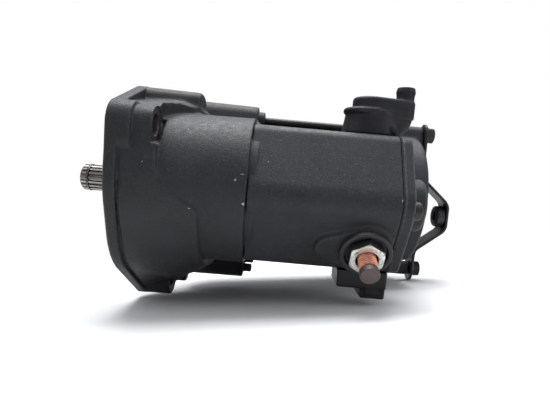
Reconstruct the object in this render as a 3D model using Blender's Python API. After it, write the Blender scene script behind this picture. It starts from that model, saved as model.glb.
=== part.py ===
"""Electric starter motor with an offset reduction gear and a coaxial solenoid.

Frame: X runs along the output shaft, plus towards the rear.  Y runs from the
output shaft's axis towards the motor's axis.  Z is up.  Lengths below are in
millimetres, measured from the mounting face, and become metres when a mesh is
made.  The finished assembly is then moved along X so that the origin is the
centre of the output shaft's end face.
"""
import math

import bmesh
import bpy
from mathutils import Matrix, Vector

MM = 0.001

# ---------------------------------------------------------------- dimensions
GAP = 0.3                 # clearance kept between neighbouring pieces
RUN = 0.30                # radial running clearance of a turning shaft

MOTOR_Y = 60.0            # distance from output axis to motor axis
BELL_R = 32.5             # outside radius of the bell round the clutch
BELL_BORE = 29.4          # inside radius of the gear chamber
PART_X = 53.7             # rear plane of the drive housing
FLANGE_T = 5.0            # thickness of the mounting flange

NEAR_HOLE = (-23.0, 23.4)   # mounting holes, (y, z)
LOW_HOLE = (24.0, -48.0)
HOLE_R = 4.25
NEAR_BOSS_X = 16.8
LOW_EAR_X = 16.8

RIDGE = (4.0, 31.6, 10.2)   # boss along the top, (y, z, radius)
RIDGE_X = 29.0
BOLT_Z = 37.45            # through bolts above and below the motor axis
LOW_BOLT_Z = -39.7
BOLTS = (BOLT_Z, LOW_BOLT_Z)
BOLT_R = 2.25
BOLT_BOSS_R = 8.3

HEX_APOTHEM = 28.1        # solenoid housing
HEX_X0, HEX_X1 = 54.0, 112.9
SOL_BORE = 22.0
COVER_X0, COVER_X1 = 113.8, 117.8
COVER_BOSS_R, COVER_BOSS_X = 11.5, 128.8
COVER_SCREWS = ((-25.0, -1.0), (12.8, 22.4), (12.8, -22.4))

YOKE_R, YOKE_BORE = 34.7, 31.6
REAR_R = 35.0
YOKE_X0, YOKE_X1 = 55.5, 118.0
REAR_X0, REAR_X1 = 118.3, 141.3
LUG_X0, LUG_X1 = 129.0, 144.8
STRAP_T, STRAP_W, STRAP_Y = 1.5, 13.0, 58.5
STRAP_X = 145.1
WELD_NUT_Z = -8.0

MODULE = 1.5              # gear train
Z_PINION, Z_IDLER, Z_CLUTCH = 11, 20, 36
PINION_C = (MOTOR_Y, 0.0)
_a = MODULE * (Z_PINION + Z_IDLER) / 2
_b = MODULE * (Z_IDLER + Z_CLUTCH) / 2
_iy = (_b * _b - _a * _a + MOTOR_Y * MOTOR_Y) / (2 * MOTOR_Y)
IDLER_C = (_iy, math.sqrt(_b * _b - _iy * _iy))
CLUTCH_C = (0.0, 0.0)
GEAR_X0, GEAR_X1 = 28.0, 38.5

SHAFT_TIP_X = -20.3
SHAFT_STROKE = 9.0        # travel of the output shaft and of the plunger
SPLINE_N, SPLINE_RO, SPLINE_RI = 18, 5.65, 4.8

TERM_X = 101.6            # battery terminal
TERM_N = (0.0, -math.cos(math.radians(30)), -math.sin(math.radians(30)))
TERM_SIDE = -3.4          # offset of the stud along its facet, downwards
BOOT_X = 103.0

FACETS = 0.45             # scales how finely round shapes are divided


# ------------------------------------------------------------------- helpers
def facets(n):
    return max(10, 2 * int(round(n * FACETS / 2)))


def clear_scene():
    for ob in list(bpy.data.objects):
        bpy.data.objects.remove(ob, do_unlink=True)


_mats = {}


def material(name, colour, rough, metal=0.0):
    if name not in _mats:
        m = bpy.data.materials.new(name)
        m.use_nodes = True
        b = m.node_tree.nodes["Principled BSDF"]
        b.inputs["Base Color"].default_value = (*colour, 1.0)
        b.inputs["Roughness"].default_value = rough
        b.inputs["Metallic"].default_value = metal
        _mats[name] = m
    return _mats[name]


def mesh_object(name, verts, faces, matrix=None):
    """One closed mesh from points in millimetres, faces turned outwards."""
    bm = bmesh.new()
    vs = []
    for v in verts:
        p = Vector(v)
        if matrix is not None:
            p = matrix @ p
        vs.append(bm.verts.new(p * MM))
    for f in faces:
        bm.faces.new([vs[i] for i in f])
    bmesh.ops.recalc_face_normals(bm, faces=bm.faces)
    me = bpy.data.meshes.new(name)
    bm.to_mesh(me)
    bm.free()
    ob = bpy.data.objects.new(name, me)
    bpy.context.scene.collection.objects.link(ob)
    return ob


def loft(name, rings, closed=False, matrix=None):
    """Skin rings of equal count.  closed joins the last ring to the first."""
    n = len(rings[0][1])
    verts = [(x, y, z) for x, pts in rings for y, z in pts]
    faces = []
    m = len(rings)
    for k in range(m if closed else m - 1):
        a, b = k * n, ((k + 1) % m) * n
        for i in range(n):
            j = (i + 1) % n
            faces.append((a + i, a + j, b + j, b + i))
    if not closed:
        faces.append(tuple(range(n)))
        faces.append(tuple((m - 1) * n + i for i in range(n)))
    return mesh_object(name, verts, faces, matrix)


def circle(cy, cz, r, n, phase=0.0):
    return [
        (cy + r * math.cos(phase + 2 * math.pi * i / n),
         cz + r * math.sin(phase + 2 * math.pi * i / n))
        for i in range(n)
    ]


def lathe(name, profile, n=48, centre=(0.0, 0.0), closed=False, matrix=None):
    """Turn (x, radius) points about the X direction through centre.

    closed is for a ring: the profile is a loop that stays off the axis."""
    n = facets(n)
    return loft(
        name,
        [(x, circle(centre[0], centre[1], r, n)) for x, r in profile],
        closed, matrix,
    )


def tube(name, x0, x1, ro, ri, n=48, centre=(0.0, 0.0), c=0.0):
    """Plain ring with an optional chamfer c on its outer edges."""
    prof = [(x0, ri)]
    if c:
        prof += [(x0, ro - c), (x0 + c, ro), (x1 - c, ro), (x1, ro - c)]
    else:
        prof += [(x0, ro), (x1, ro)]
    prof += [(x1, ri)]
    return lathe(name, prof, n, centre, closed=True)


def rod(name, x0, x1, r, n=48, centre=(0.0, 0.0), c=0.0):
    if c:
        return lathe(name, [(x0, r - c), (x0 + c, r), (x1 - c, r), (x1, r - c)], n, centre)
    return lathe(name, [(x0, r), (x1, r)], n, centre)


def convex_hull(pts):
    pts = sorted(set(pts))

    def half(seq):
        out = []
        for p in seq:
            while len(out) > 1 and (
                (out[-1][0] - out[-2][0]) * (p[1] - out[-2][1])
                - (out[-1][1] - out[-2][1]) * (p[0] - out[-2][0])
            ) <= 0:
                out.pop()
            out.append(p)
        return out[:-1]

    return half(pts) + half(reversed(pts))


def ray_ring(poly, n, centre):
    """Points where evenly spaced rays from centre leave a star-shaped polygon."""
    out = []
    n = facets(n)
    m = len(poly)
    for i in range(n):
        t = 2 * math.pi * i / n
        dx, dy = math.cos(t), math.sin(t)
        best = 0.0
        for k in range(m):
            ax, ay = poly[k][0] - centre[0], poly[k][1] - centre[1]
            bx, by = poly[(k + 1) % m][0] - centre[0], poly[(k + 1) % m][1] - centre[1]
            ex, ey = bx - ax, by - ay
            den = dx * ey - dy * ex
            if abs(den) < 1e-12:
                continue
            s = (ax * ey - ay * ex) / den
            u = (ax * dy - ay * dx) / den
            if -1e-9 <= u <= 1 + 1e-9 and s > best:
                best = s
        out.append((centre[0] + best * dx, centre[1] + best * dy))
    return out


def hull_ring(circles, n, centre, grow=0.0):
    """Outline of a belt stretched round circles (y, z, r)."""
    pts = []
    for cy, cz, r in circles:
        pts += [(round(p[0], 6), round(p[1], 6)) for p in circle(cy, cz, max(r + grow, 0.2), 120)]
    return ray_ring(convex_hull(pts), n, centre)


def prism(name, x0, x1, circles, n, centre, c=0.0, grow1=0.0):
    """Extrusion of a belt outline along X; grow1 tapers the far end."""
    if c:
        rings = [
            (x0, hull_ring(circles, n, centre, -c)),
            (x0 + c, hull_ring(circles, n, centre)),
            (x1 - c, hull_ring(circles, n, centre, grow1)),
            (x1, hull_ring(circles, n, centre, grow1 - c)),
        ]
    else:
        rings = [(x0, hull_ring(circles, n, centre)), (x1, hull_ring(circles, n, centre, grow1))]
    return loft(name, rings)


def box(name, lo, hi):
    (x0, y0, z0), (x1, y1, z1) = lo, hi
    v = [(x, y, z) for x in (x0, x1) for y in (y0, y1) for z in (z0, z1)]
    f = [(0, 1, 3, 2), (4, 6, 7, 5), (0, 4, 5, 1), (2, 3, 7, 6), (0, 2, 6, 4), (1, 5, 7, 3)]
    return mesh_object(name, v, f)


def combine(target, others, operation):
    """Exact Boolean with each other mesh in turn; the others are used up."""
    for other in others:
        mod = target.modifiers.new("cut", "BOOLEAN")
        mod.operation = operation
        mod.solver = "EXACT"
        mod.object = other
        dg = bpy.context.evaluated_depsgraph_get()
        dg.update()
        me = bpy.data.meshes.new_from_object(target.evaluated_get(dg))
        target.modifiers.clear()
        old = target.data
        target.data = me
        bpy.data.meshes.remove(old)
        bpy.data.objects.remove(other, do_unlink=True)
        bm = bmesh.new()
        bm.from_mesh(target.data)
        bmesh.ops.remove_doubles(bm, verts=bm.verts, dist=1e-6)
        bmesh.ops.dissolve_degenerate(bm, edges=bm.edges, dist=1e-6)
        bm.to_mesh(target.data)
        bm.free()
    return target


def union(target, *others):
    return combine(target, others, "UNION")


def cut(target, *others):
    return combine(target, others, "DIFFERENCE")


def finish(ob, mat, angle=32.0, pivot=None):
    ob.data.materials.clear()
    ob.data.materials.append(mat)
    if pivot is not None:
        p = Vector(pivot) * MM
        ob.data.transform(Matrix.Translation(-p))
        ob.location = p
    ob.data.shade_smooth()
    ob.data.set_sharp_from_angle(angle=math.radians(angle))
    ob.data.name = ob.name
    return ob


def towards(direction, point):
    """Matrix that sends +X to direction and the origin to point."""
    d = Vector(direction).normalized()
    return Matrix.Translation(Vector(point)) @ d.to_track_quat("X", "Z").to_matrix().to_4x4()


def hex_ring(af, n, phase=0.0):
    """Hexagon of width af across flats, sampled at n equal angles."""
    out = []
    for i in range(n):
        t = 2 * math.pi * i / n
        k = (t % (math.pi / 3)) - math.pi / 6
        r = af / 2 / math.cos(k)
        out.append((r * math.cos(t + phase), r * math.sin(t + phase)))
    return out


def bearing(name, x0, x1, ro, ri, centre):
    """Shielded ball bearing with a sunk shield on each side."""
    a, b = ri + (ro - ri) * 0.28, ri + (ro - ri) * 0.74
    return lathe(name, [
        (x0, ri), (x0, a), (x0 + 0.7, a), (x0 + 0.7, b), (x0, b), (x0, ro), (x1, ro), (x1, ri)], 44, centre, closed=True)


# --------------------------------------------------------------------- gears
def involute_gear(z, m, tooth_angle, add=0.8, ded=1.2, backlash=0.30, steps=2):
    """Outline of a stub-tooth spur gear, one tooth centred on tooth_angle."""
    rp = m * z / 2
    pa = math.radians(20)
    rb = rp * math.cos(pa)
    ra, rf = rp + add * m, rp - ded * m
    half = math.pi / (2 * z) - backlash / (2 * rp)
    inv = lambda a: math.tan(a) - a

    def half_angle(r):
        a = math.acos(min(1.0, rb / r)) if r > rb else 0.0
        return half + inv(pa) - inv(a)

    radii = [rf] + [max(rb, rf + 0.2) + (ra - max(rb, rf + 0.2)) * k / steps for k in range(steps + 1)]
    pts = []
    for t in range(z):
        c = tooth_angle + 2 * math.pi * t / z
        for r in radii:
            pts.append((r, c - half_angle(r)))
        for r in reversed(radii):
            pts.append((r, c + half_angle(r)))
    return [(r * math.cos(a), r * math.sin(a)) for r, a in pts]


def mesh_angle(c1, c2, z1, z2, a1):
    """Tooth angle of gear 2 that meshes with gear 1 whose tooth is at a1."""
    phi = math.atan2(c2[1] - c1[1], c2[0] - c1[0])
    u1 = (phi - a1) * z1 / (2 * math.pi)
    return phi + math.pi - (0.5 - u1) * 2 * math.pi / z2


A_PINION = 0.0
A_IDLER = mesh_angle(PINION_C, IDLER_C, Z_PINION, Z_IDLER, A_PINION)
A_CLUTCH = mesh_angle(IDLER_C, CLUTCH_C, Z_IDLER, Z_CLUTCH, A_IDLER)


def gear(name, centre, z, tooth_angle, x0, x1, steps=2):
    pts = [(centre[0] + y, centre[1] + zz) for y, zz in involute_gear(z, MODULE, tooth_angle, steps=steps)]
    return loft(name, [(x0, pts), (x1, pts)])


def spline_ring(n, ro, ri, per=4, frac=0.46):
    """Straight-sided spline outline, per points on each tooth."""
    pts = []
    for k in range(n):
        c = 2 * math.pi * k / n
        w = math.pi / n
        for r, a in ((ri, -w * (1.02 - frac) - w * 0.06), (ro, -w * frac), (ro, w * frac), (ri, w * (1.02 - frac) + w * 0.06)):
            pts.append((r * math.cos(c + a), r * math.sin(c + a)))
    return pts


# ----------------------------------------------------------------- materials
def make_materials():
    g = globals()
    g["BLACK"] = material("black_coating", (0.022, 0.022, 0.024), 0.55, 0.0)
    g["STEEL"] = material("bare_steel", (0.42, 0.41, 0.40), 0.35, 1.0)
    g["DARK_STEEL"] = material("dark_steel", (0.16, 0.155, 0.15), 0.42, 1.0)
    g["ZINC"] = material("zinc_plate", (0.66, 0.65, 0.60), 0.30, 1.0)
    g["COPPER"] = material("copper", (0.72, 0.33, 0.20), 0.38, 1.0)
    g["RUBBER"] = material("rubber", (0.018, 0.018, 0.019), 0.62)
    g["PLASTIC"] = material("black_plastic", (0.02, 0.02, 0.022), 0.45)
    g["PHENOLIC"] = material("insulator_plastic", (0.045, 0.043, 0.04), 0.5)
    g["CARBON"] = material("carbon", (0.05, 0.048, 0.046), 0.6)
    g["LAMINATION"] = material("lamination_steel", (0.22, 0.22, 0.22), 0.45, 1.0)
    g["VARNISH"] = material("varnished_wire", (0.40, 0.16, 0.07), 0.35, 0.6)
    g["BRONZE"] = material("bronze", (0.55, 0.38, 0.18), 0.4, 1.0)


# ------------------------------------------------------------- drive housing
HC = (22.0, -2.0)          # point inside every section of the drive housing

FLANGE = (
    (-24.0, 23.2, 8.9),
    (0.0, 4.0, 32.3),
    (6.0, -8.5, 33.5),
    (LOW_HOLE[0], LOW_HOLE[1], 8.5),
    (RIDGE[0], RIDGE[1], 10.4),
    (26.0, 4.0, 33.0),
)


def build_drive_housing():
    n = 112
    rings = [
        (0.0, hull_ring(FLANGE, n, HC, -0.7)),
        (0.7, hull_ring(FLANGE, n, HC)),
        (FLANGE_T - 0.9, hull_ring(FLANGE, n, HC)),
        (FLANGE_T, hull_ring(FLANGE, n, HC, -0.8)),
    ]
    body = loft("drive_housing", rings)
    n = 72
    # skirt that runs back from the flange and fades into the bell
    rim = [c for c in FLANGE if c[2] != 10.4]
    skirt_a = [c for c in rim if c[:2] != (LOW_HOLE[0], LOW_HOLE[1])] + [(22.0, -40.0, 12.5)]
    skirt_b = [(-0.6, -1.0, 32.6), (3.0, -4.0, 32.0), (26.0, -28.0, 17.0), (30.0, 4.0, 30.0)]
    skirt = loft("skirt", [
        (4.0, hull_ring(rim, n, HC, -1.3)),
        (16.4, hull_ring(skirt_a, n, HC, -1.1)),
        (21.7, hull_ring(skirt_a, n, HC, -1.3)),
        (36.0, hull_ring(skirt_b, n, HC, -0.2)),
    ])
    # the skirt ends behind the near boss and along a slope below it
    edge = [(16.8, 58.0), (16.8, 17.5), (18.7, 16.5), (20.3, 2.5), (38.0, -9.6), (60.0, -9.6), (60.0, 58.0)]
    wedge = mesh_object("wedge", [(x, -60, z) for x, z in edge] + [(x, -14, z) for x, z in edge],
                        [tuple(range(7)), tuple(range(13, 6, -1))] + [(k, k + 7, (k + 1) % 7 + 7, (k + 1) % 7) for k in range(7)])
    top_cut = box("top_cut", (16.8, -20, 30.2), (60, 70, 60))
    low_cut = box("low_cut", (21.7, -60, -70), (60, 48, -46.3))
    cut(skirt, wedge, top_cut, low_cut)
    bell = lathe("bell", [(3.0, BELL_R - 0.8), (26.0, BELL_R - 0.4), (PART_X - 0.5, BELL_R), (PART_X, BELL_R - 0.5)], 80)
    case = loft("case", [
        (13.5, hull_ring([(8, 0, 26.0), (MOTOR_Y, 0, 31.5)], n, (30, 0))),
        (14.6, hull_ring([(8, 0, 27.5), (MOTOR_Y, 0, 34.0)], n, (30, 0))),
        (17.5, hull_ring([(8, 0, 28.5), (MOTOR_Y, 0, 35.6)], n, (30, 0))),
        (PART_X, hull_ring([(8, 0, 29.0), (MOTOR_Y, 0, 35.9)], n, (30, 0))),
    ])
    register = rod("register", 50.0, YOKE_X0 - 0.3, YOKE_R - 0.1, 48, (MOTOR_Y, 0))
    corner = prism("corner", 2.0, 9.4, [(-24.0, 23.2, 8.7), (-26.8, 17.6, 5.8), (-12.0, 20.0, 8.0)], 40, (-20, 20), 0.6)
    near = prism("near", 3.0, NEAR_BOSS_X, [(NEAR_HOLE[0], NEAR_HOLE[1], 7.3), (-14.0, 16.0, 9.0)], 32, (-19, 20), 0.6, -0.2)
    ear = prism("ear", 2.5, LOW_EAR_X, [(LOW_HOLE[0], LOW_HOLE[1], 8.3), (20.0, -30.0, 10.0)], 32, (22, -38), 0.7)
    step = prism("step", 3.0, 21.9, [(34.0, -45.0, 6.8), (36.0, -26.0, 10.0)], 28, (35, -34), 0.8)
    ridge = prism("ridge", 2.5, RIDGE_X, [(3.4, 36.2, 5.6), (RIDGE[0] + 4.0, RIDGE[1], RIDGE[2]), (8.0, 22.0, 13.0)], 40, (7, 27), 1.0, -0.5)
    upper = prism("upper", 17.5, 51.4, [(MOTOR_Y, BOLT_Z, BOLT_BOSS_R), (MOTOR_Y, 26.0, 12.0)], 36, (MOTOR_Y, 33), 0.8, -0.8)
    lower = prism("lower", 17.6, 49.8, [(MOTOR_Y, LOW_BOLT_Z, BOLT_BOSS_R), (57.0, -45.8, 6.9), (56.0, -26.0, 12.0)], 36, (58, -36), 0.8, -0.3)
    nub_u = rod("nub_u", 48.0, 55.1, 5.0, 20, (MOTOR_Y, BOLT_Z))
    nub_l = rod("nub_l", 47.0, 55.1, 5.0, 20, (MOTOR_Y, LOW_BOLT_Z))
    pin_l = rod("pin_l", 47.0, 54.5, 2.3, 14, (56.5, -47.0))
    union(body, skirt, bell, case, register, corner, near, ear, step, ridge, upper, lower, nub_u, nub_l, pin_l)

    # gear chamber, bearing seats and shaft passage
    chamber = lathe("chamber", [(9.0, 24.5), (11.0, 26.0), (20.0, 26.0), (22.5, BELL_BORE), (80.0, BELL_BORE)], 80)
    idler_room = rod("idler_room", 26.4, 45.0, 17.2, 40, IDLER_C)
    pinion_room = rod("pinion_room", 26.4, 45.0, 14.0, 36, PINION_C)
    plate_room = rod("plate_room", 44.0, 80.0, 29.0, 48, (MOTOR_Y, 0))
    cut(body, chamber, idler_room, pinion_room, plate_room)
    pin_hole = rod("pin_hole", 19.0, 30.0, 4.15, 20, IDLER_C)
    nose = lathe("nose", [(6.0, 12.0), (18.2, 12.0)], 32)
    union(body, nose)
    passage = lathe("passage", [(-5.0, 11.6), (6.9, 11.6), (6.9, 8.65), (30.0, 8.65)], 32)
    cut(body, pin_hole, passage)
    # mounting holes and the blind holes of the through bolts
    for k, (y, z) in enumerate((NEAR_HOLE, LOW_HOLE)):
        cut(body, rod("hole%d" % k, -5, 17.6, HOLE_R, 24, (y, z)))
    # recess in the bell for the head of the near bolt
    recess = rod("recess", NEAR_BOSS_X, 20.2, 7.2, 32, NEAR_HOLE)
    cut(recess, rod("keep", 10.0, 30.0, 29.8, 64))
    low_recess = rod("low_recess", LOW_EAR_X, 24.0, 7.0, 32, LOW_HOLE)
    cut(body, recess, low_recess)
    for k, z in enumerate(BOLTS):
        cut(body, rod("bolt%d" % k, 26.0, 80, BOLT_R + GAP, 20, (MOTOR_Y, z)))
    finish(body, BLACK)
    return body


# ----------------------------------------------------------- solenoid housing
def hex_outline(apothem, n, soft_near=18.0, soft=6.0, grow=0.0):
    """Hexagon with a corner towards -Y, its corners rounded."""
    pts = []
    for k in range(6):
        a = math.radians(180 + 60 * k)
        r = soft_near if k == 0 else soft
        cd = (apothem - r) / math.cos(math.radians(30))
        pts += circle(cd * math.cos(a), cd * math.sin(a), r + grow, 96, 0.0)
    pts = [(round(p[0], 6), round(p[1], 6)) for p in pts]
    return ray_ring(convex_hull(pts), n, (0.0, 0.0))


def facet_point(across, along, x):
    """Point on the lower near facet: across the axis, along the facet."""
    n = Vector(TERM_N)
    t = Vector((0.0, -math.sin(math.radians(30)), math.cos(math.radians(30))))
    p = n * across + t * along
    return (x, p.y, p.z)


def build_solenoid_housing():
    n = 72
    ob = loft("solenoid_housing", [
        (HEX_X0, hex_outline(HEX_APOTHEM, n, grow=-0.5)),
        (HEX_X0 + 0.5, hex_outline(HEX_APOTHEM, n)),
        (HEX_X1 - 0.5, hex_outline(HEX_APOTHEM, n)),
        (HEX_X1, hex_outline(HEX_APOTHEM, n, grow=-0.5)),
    ])
    spigot = lathe("spigot", [(47.5, BELL_BORE - 0.8), (48.0, BELL_BORE - GAP), (57.0, BELL_BORE - GAP)], 80)
    union(ob, spigot)
    # seat of the terminal insulator, raised tail pad
    pad = loft("pad", [
        (26.0, hull_ring([(0, 0, 10.8), (0, 13.5, 6.3)], 36, (0, 4))),
        (30.6, hull_ring([(0, 0, 10.6), (0, 13.5, 6.0)], 36, (0, 4))),
    ])
    # the pad's own axes: x along the facet normal, +z of the outline towards -X
    nrm = Vector(TERM_N)
    tail = Vector((-1.0, 0.0, 0.0))
    side = nrm.cross(tail) * -1.0
    base = Vector(facet_point(0.0, TERM_SIDE - 1.2, TERM_X))
    mat = Matrix((
        (nrm.x, side.x, tail.x, base.x),
        (nrm.y, side.y, tail.y, base.y),
        (nrm.z, side.z, tail.z, base.z),
        (0, 0, 0, 1)))
    m_scaled = mat.copy()
    m_scaled.translation = mat.translation * MM
    pad.data.transform(m_scaled)
    union(ob, pad)
    # saddle for the motor's yoke, bore, rod passage and bearing seat
    saddle = rod("saddle", 40.0, 140.0, YOKE_R + 0.4, 64, (MOTOR_Y, 0))
    bore = rod("bore", 57.6, 140.0, SOL_BORE, 48)
    rodhole = rod("rodhole", 40.0, 70.0, 7.0, 24)
    seat = rod("seat", 40.0, 54.3, 17.0, 44)
    cut(ob, saddle, bore, rodhole, seat)
    for k, (y, z) in enumerate(COVER_SCREWS):
        cut(ob, rod("sh%d" % k, 100.0, 140.0, 2.3, 14, (y, z)))
    # stud passages
    t = towards(TERM_N, facet_point(0.0, TERM_SIDE, TERM_X))
    cut(ob, lathe("tp", [(15.0, 6.3), (60.0, 6.3)], 24, matrix=t))
    t = towards((0, 0, 1), (BOOT_X, 0, 0))
    cut(ob, lathe("mp", [(15.0, 6.3), (60.0, 6.3)], 24, matrix=t))
    cut(ob, box("slot", (105.6, -10.5, -60.0), (111.8, -4.5, -20.0)))
    finish(ob, BLACK)
    return ob


def build_cover():
    n = 72
    ob = loft("solenoid_cover", [
        (COVER_X0, hex_outline(HEX_APOTHEM, n, grow=-0.1)),
        (COVER_X1 - 0.6, hex_outline(HEX_APOTHEM, n, grow=-0.1)),
        (COVER_X1, hex_outline(HEX_APOTHEM, n, grow=-0.7)),
    ])
    boss = lathe("boss", [(115.0, COVER_BOSS_R + 1.2), (118.2, COVER_BOSS_R), (COVER_BOSS_X - 1.2, COVER_BOSS_R),
                          (COVER_BOSS_X, COVER_BOSS_R - 1.4)], 40)
    union(ob, boss)
    cut(ob, rod("hollow", 100.0, 125.2, 9.0, 32),
        rod("saddle", 100.0, 140.0, YOKE_R + 0.5, 64, (MOTOR_Y, 0)))
    for k, (y, z) in enumerate(COVER_SCREWS):
        cut(ob, rod("ch%d" % k, 100.0, 140.0, 2.3, 14, (y, z)))
    finish(ob, BLACK)

    g = loft("cover_gasket", [
        (113.2, hex_outline(HEX_APOTHEM, n, grow=-0.6)),
        (113.5, hex_outline(HEX_APOTHEM, n, grow=-0.6)),
    ])
    cut(g, rod("gb", 100, 140, SOL_BORE, 48), rod("gs", 100.0, 140.0, YOKE_R + 0.9, 64, (MOTOR_Y, 0)))
    for k, (y, z) in enumerate(COVER_SCREWS):
        cut(g, rod("gh%d" % k, 100.0, 140.0, 2.3, 14, (y, z)))
    finish(g, PLASTIC)

    for k, (y, z) in enumerate(COVER_SCREWS):
        s = lathe("cover_screw_%d" % (k + 1), [
            (103.0, 1.3), (103.6, 1.9), (COVER_X1 + 0.3, 1.9), (COVER_X1 + 0.3, 3.6), (119.9, 3.6), (121.3, 2.9), (121.9, 1.8),
        ], 20, (y, z))
        cut(s, box("sl%d" % k, (120.7, y - 3.0, z - 0.45), (122.7, y + 3.0, z + 0.45)),
            box("sk%d" % k, (120.7, y - 0.45, z - 3.0), (122.7, y + 0.45, z + 3.0)))
        finish(s, BLACK)


# ---------------------------------------------------------------- motor shell
def build_motor_shell():
    c = (MOTOR_Y, 0.0)
    yoke = tube("yoke", YOKE_X0, YOKE_X1, YOKE_R, YOKE_BORE, 72, c)
    rear = lathe("rear_cover", [
        (REAR_X0, 31.6), (REAR_X0, REAR_R), (REAR_X1 - 1.0, REAR_R), (REAR_X1, REAR_R - 1.0),
        (REAR_X1, 1.0), (136.4, 1.0), (136.4, 13.45), (127.5, 13.45), (127.5, 17.0), (136.0, 18.5), (136.0, 31.6),
    ], 72, c, closed=True)
    plug = rod("plug", 137.0, REAR_X1 - 0.2, 2.0, 12, c)
    union(rear, plug)
    lug = prism("lug", LUG_X0, LUG_X1, [(MOTOR_Y, BOLT_Z, 4.5), (MOTOR_Y, 32.0, 5.6)], 28, (MOTOR_Y, 36.0), 0.6)
    # keep the lug out of the hollow of the cover
    cut(lug, rod("inner", 118.0, 137.0, 33.0, 72, c))
    union(rear, lug)
    # the lower lug stands clear of the cup behind its root
    root = prism("root", 124.0, 134.5, [(MOTOR_Y, LOW_BOLT_Z, 3.9), (MOTOR_Y, -32.0, 5.6)], 28, (MOTOR_Y, -36.0), 0.6)
    cut(root, rod("inner", 118.0, 137.0, 33.0, 72, c))
    union(rear, root, rod("low_lug", 125.0, LUG_X1, 3.9, 28, (MOTOR_Y, LOW_BOLT_Z), 0.5))
    nub = rod("nub", 140.6, 144.6, 2.2, 14, (MOTOR_Y - 0.5, -44.4))
    web = box("web", (140.8, MOTOR_Y - 1.8, -44.6), (144.4, MOTOR_Y + 0.8, -42.0))
    union(rear, nub, web)
    for z in BOLTS:
        cut(rear, rod("bh", 120.0, 160.0, BOLT_R + GAP, 20, (MOTOR_Y, z)))
    finish(rear, BLACK)
    # pole shoes at 45 degrees round the armature
    for k in range(4):
        a = math.radians(45 + 90 * k)
        ro, ri = YOKE_BORE - GAP - 0.15, 26.6
        arc = []
        steps = 6
        for i in range(steps + 1):
            t = a + math.radians(-27 + 54 * i / steps)
            arc.append((MOTOR_Y + ri * math.cos(t), ri * math.sin(t)))
        for i in range(steps, -1, -1):
            t = a + math.radians(-17 + 34 * i / steps)
            arc.append((MOTOR_Y + ro * math.cos(t), ro * math.sin(t)))
        # the tips of the shoe are thinner than its body
        shoe = loft("pole_shoe_%d" % (k + 1), [(68.0, arc), (98.0, arc)])
        finish(shoe, LAMINATION)
    finish(yoke, BLACK)
    # field coils: four windings that sit beside the shoes, joined by links
    coils = None
    for k in range(4):
        a = math.radians(45 + 90 * k)
        ring = []
        for rr, span in ((YOKE_BORE - 0.5, 40.0), (29.0, 40.0)):
            row = [a + math.radians(-span + 2 * span * i / 8) for i in range(9)]
            ring.append([(MOTOR_Y + rr * math.cos(t), rr * math.sin(t)) for t in row])
        outline = ring[0] + list(reversed(ring[1]))
        pad = loft("coil", [(60.5, outline), (105.0, outline)])
        win_out = [(MOTOR_Y + 33.5 * math.cos(a + math.radians(-29.5 + 59 * i / 4)), 33.5 * math.sin(a + math.radians(-29.5 + 59 * i / 4))) for i in range(5)]
        win_in = [(MOTOR_Y + 27.0 * math.cos(a + math.radians(29.5 - 59 * i / 4)), 27.0 * math.sin(a + math.radians(29.5 - 59 * i / 4))) for i in range(5)]
        win = loft("win", [(67.2, win_out + win_in), (98.8, win_out + win_in)])
        cut(pad, win)
        if coils is None:
            coils = pad
        else:
            union(coils, pad)
    for k in range(3):
        a = math.radians(90 + 90 * k)
        seg = []
        for rr, sg in ((30.9, 1), (29.4, -1)):
            for i in range(5):
                t = a + math.radians(sg * (-8 + 16 * i / 4))
                seg.append((MOTOR_Y + rr * math.cos(t), rr * math.sin(t)))
        union(coils, loft("link", [(101.0, seg), (104.0, seg)]))
    coils.name = "field_coils"
    finish(coils, VARNISH)


# ------------------------------------------------------------------ fasteners
def build_through_bolts():
    for name, z0 in (("through_bolt_upper", BOLT_Z), ("through_bolt_lower", LOW_BOLT_Z)):
        x = STRAP_X + STRAP_T + GAP
        b = lathe(name, [(27.0, 1.6), (27.8, BOLT_R), (x + 0.5, BOLT_R)], 20, (MOTOR_Y, z0))
        hexa = [(MOTOR_Y + y, z0 + z) for y, z in hex_ring(8.0, 24)]
        small = [(MOTOR_Y + y, z0 + z) for y, z in hex_ring(6.4, 24)]
        round_ = circle(MOTOR_Y, z0, 5.0, 24)
        head = loft("head", [(x, round_), (x + 0.8, round_), (x + 0.85, hexa), (x + 4.4, hexa), (x + 5.1, small)])
        union(b, head)
        finish(b, BLACK)


def strap_path(t0, t1):
    """Centre line of the bracket in (x, z), offset from t0 to t1."""
    base = [
        (STRAP_X, 45.0), (STRAP_X, 13.0), (160.2, 0.4), (161.3, -2.2), (161.3, -13.6), (160.2, -16.2),
        (STRAP_X, -27.8), (STRAP_X, -47.5),
    ]
    out = []
    for i, (x, z) in enumerate(base):
        nx = nz = 0.0
        for j, k in ((i - 1, i), (i, i + 1)):
            if j < 0 or k >= len(base):
                continue
            dx, dz = base[k][0] - base[j][0], base[k][1] - base[j][1]
            ln = math.hypot(dx, dz)
            nx += -dz / ln
            nz += dx / ln
        ln = math.hypot(nx, nz)
        nx, nz = nx / ln, nz / ln
        # mitre length at the bend
        if 0 < i < len(base) - 1:
            dx, dz = base[i + 1][0] - x, base[i + 1][1] - z
            l2 = math.hypot(dx, dz)
            cosb = nx * (-dz / l2) + nz * (dx / l2)
            f = 1.0 / max(cosb, 0.5)
        else:
            f = 1.0
        out.append(((x + nx * t0 * f, z + nz * t0 * f), (x + nx * t1 * f, z + nz * t1 * f)))
    return out


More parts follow.
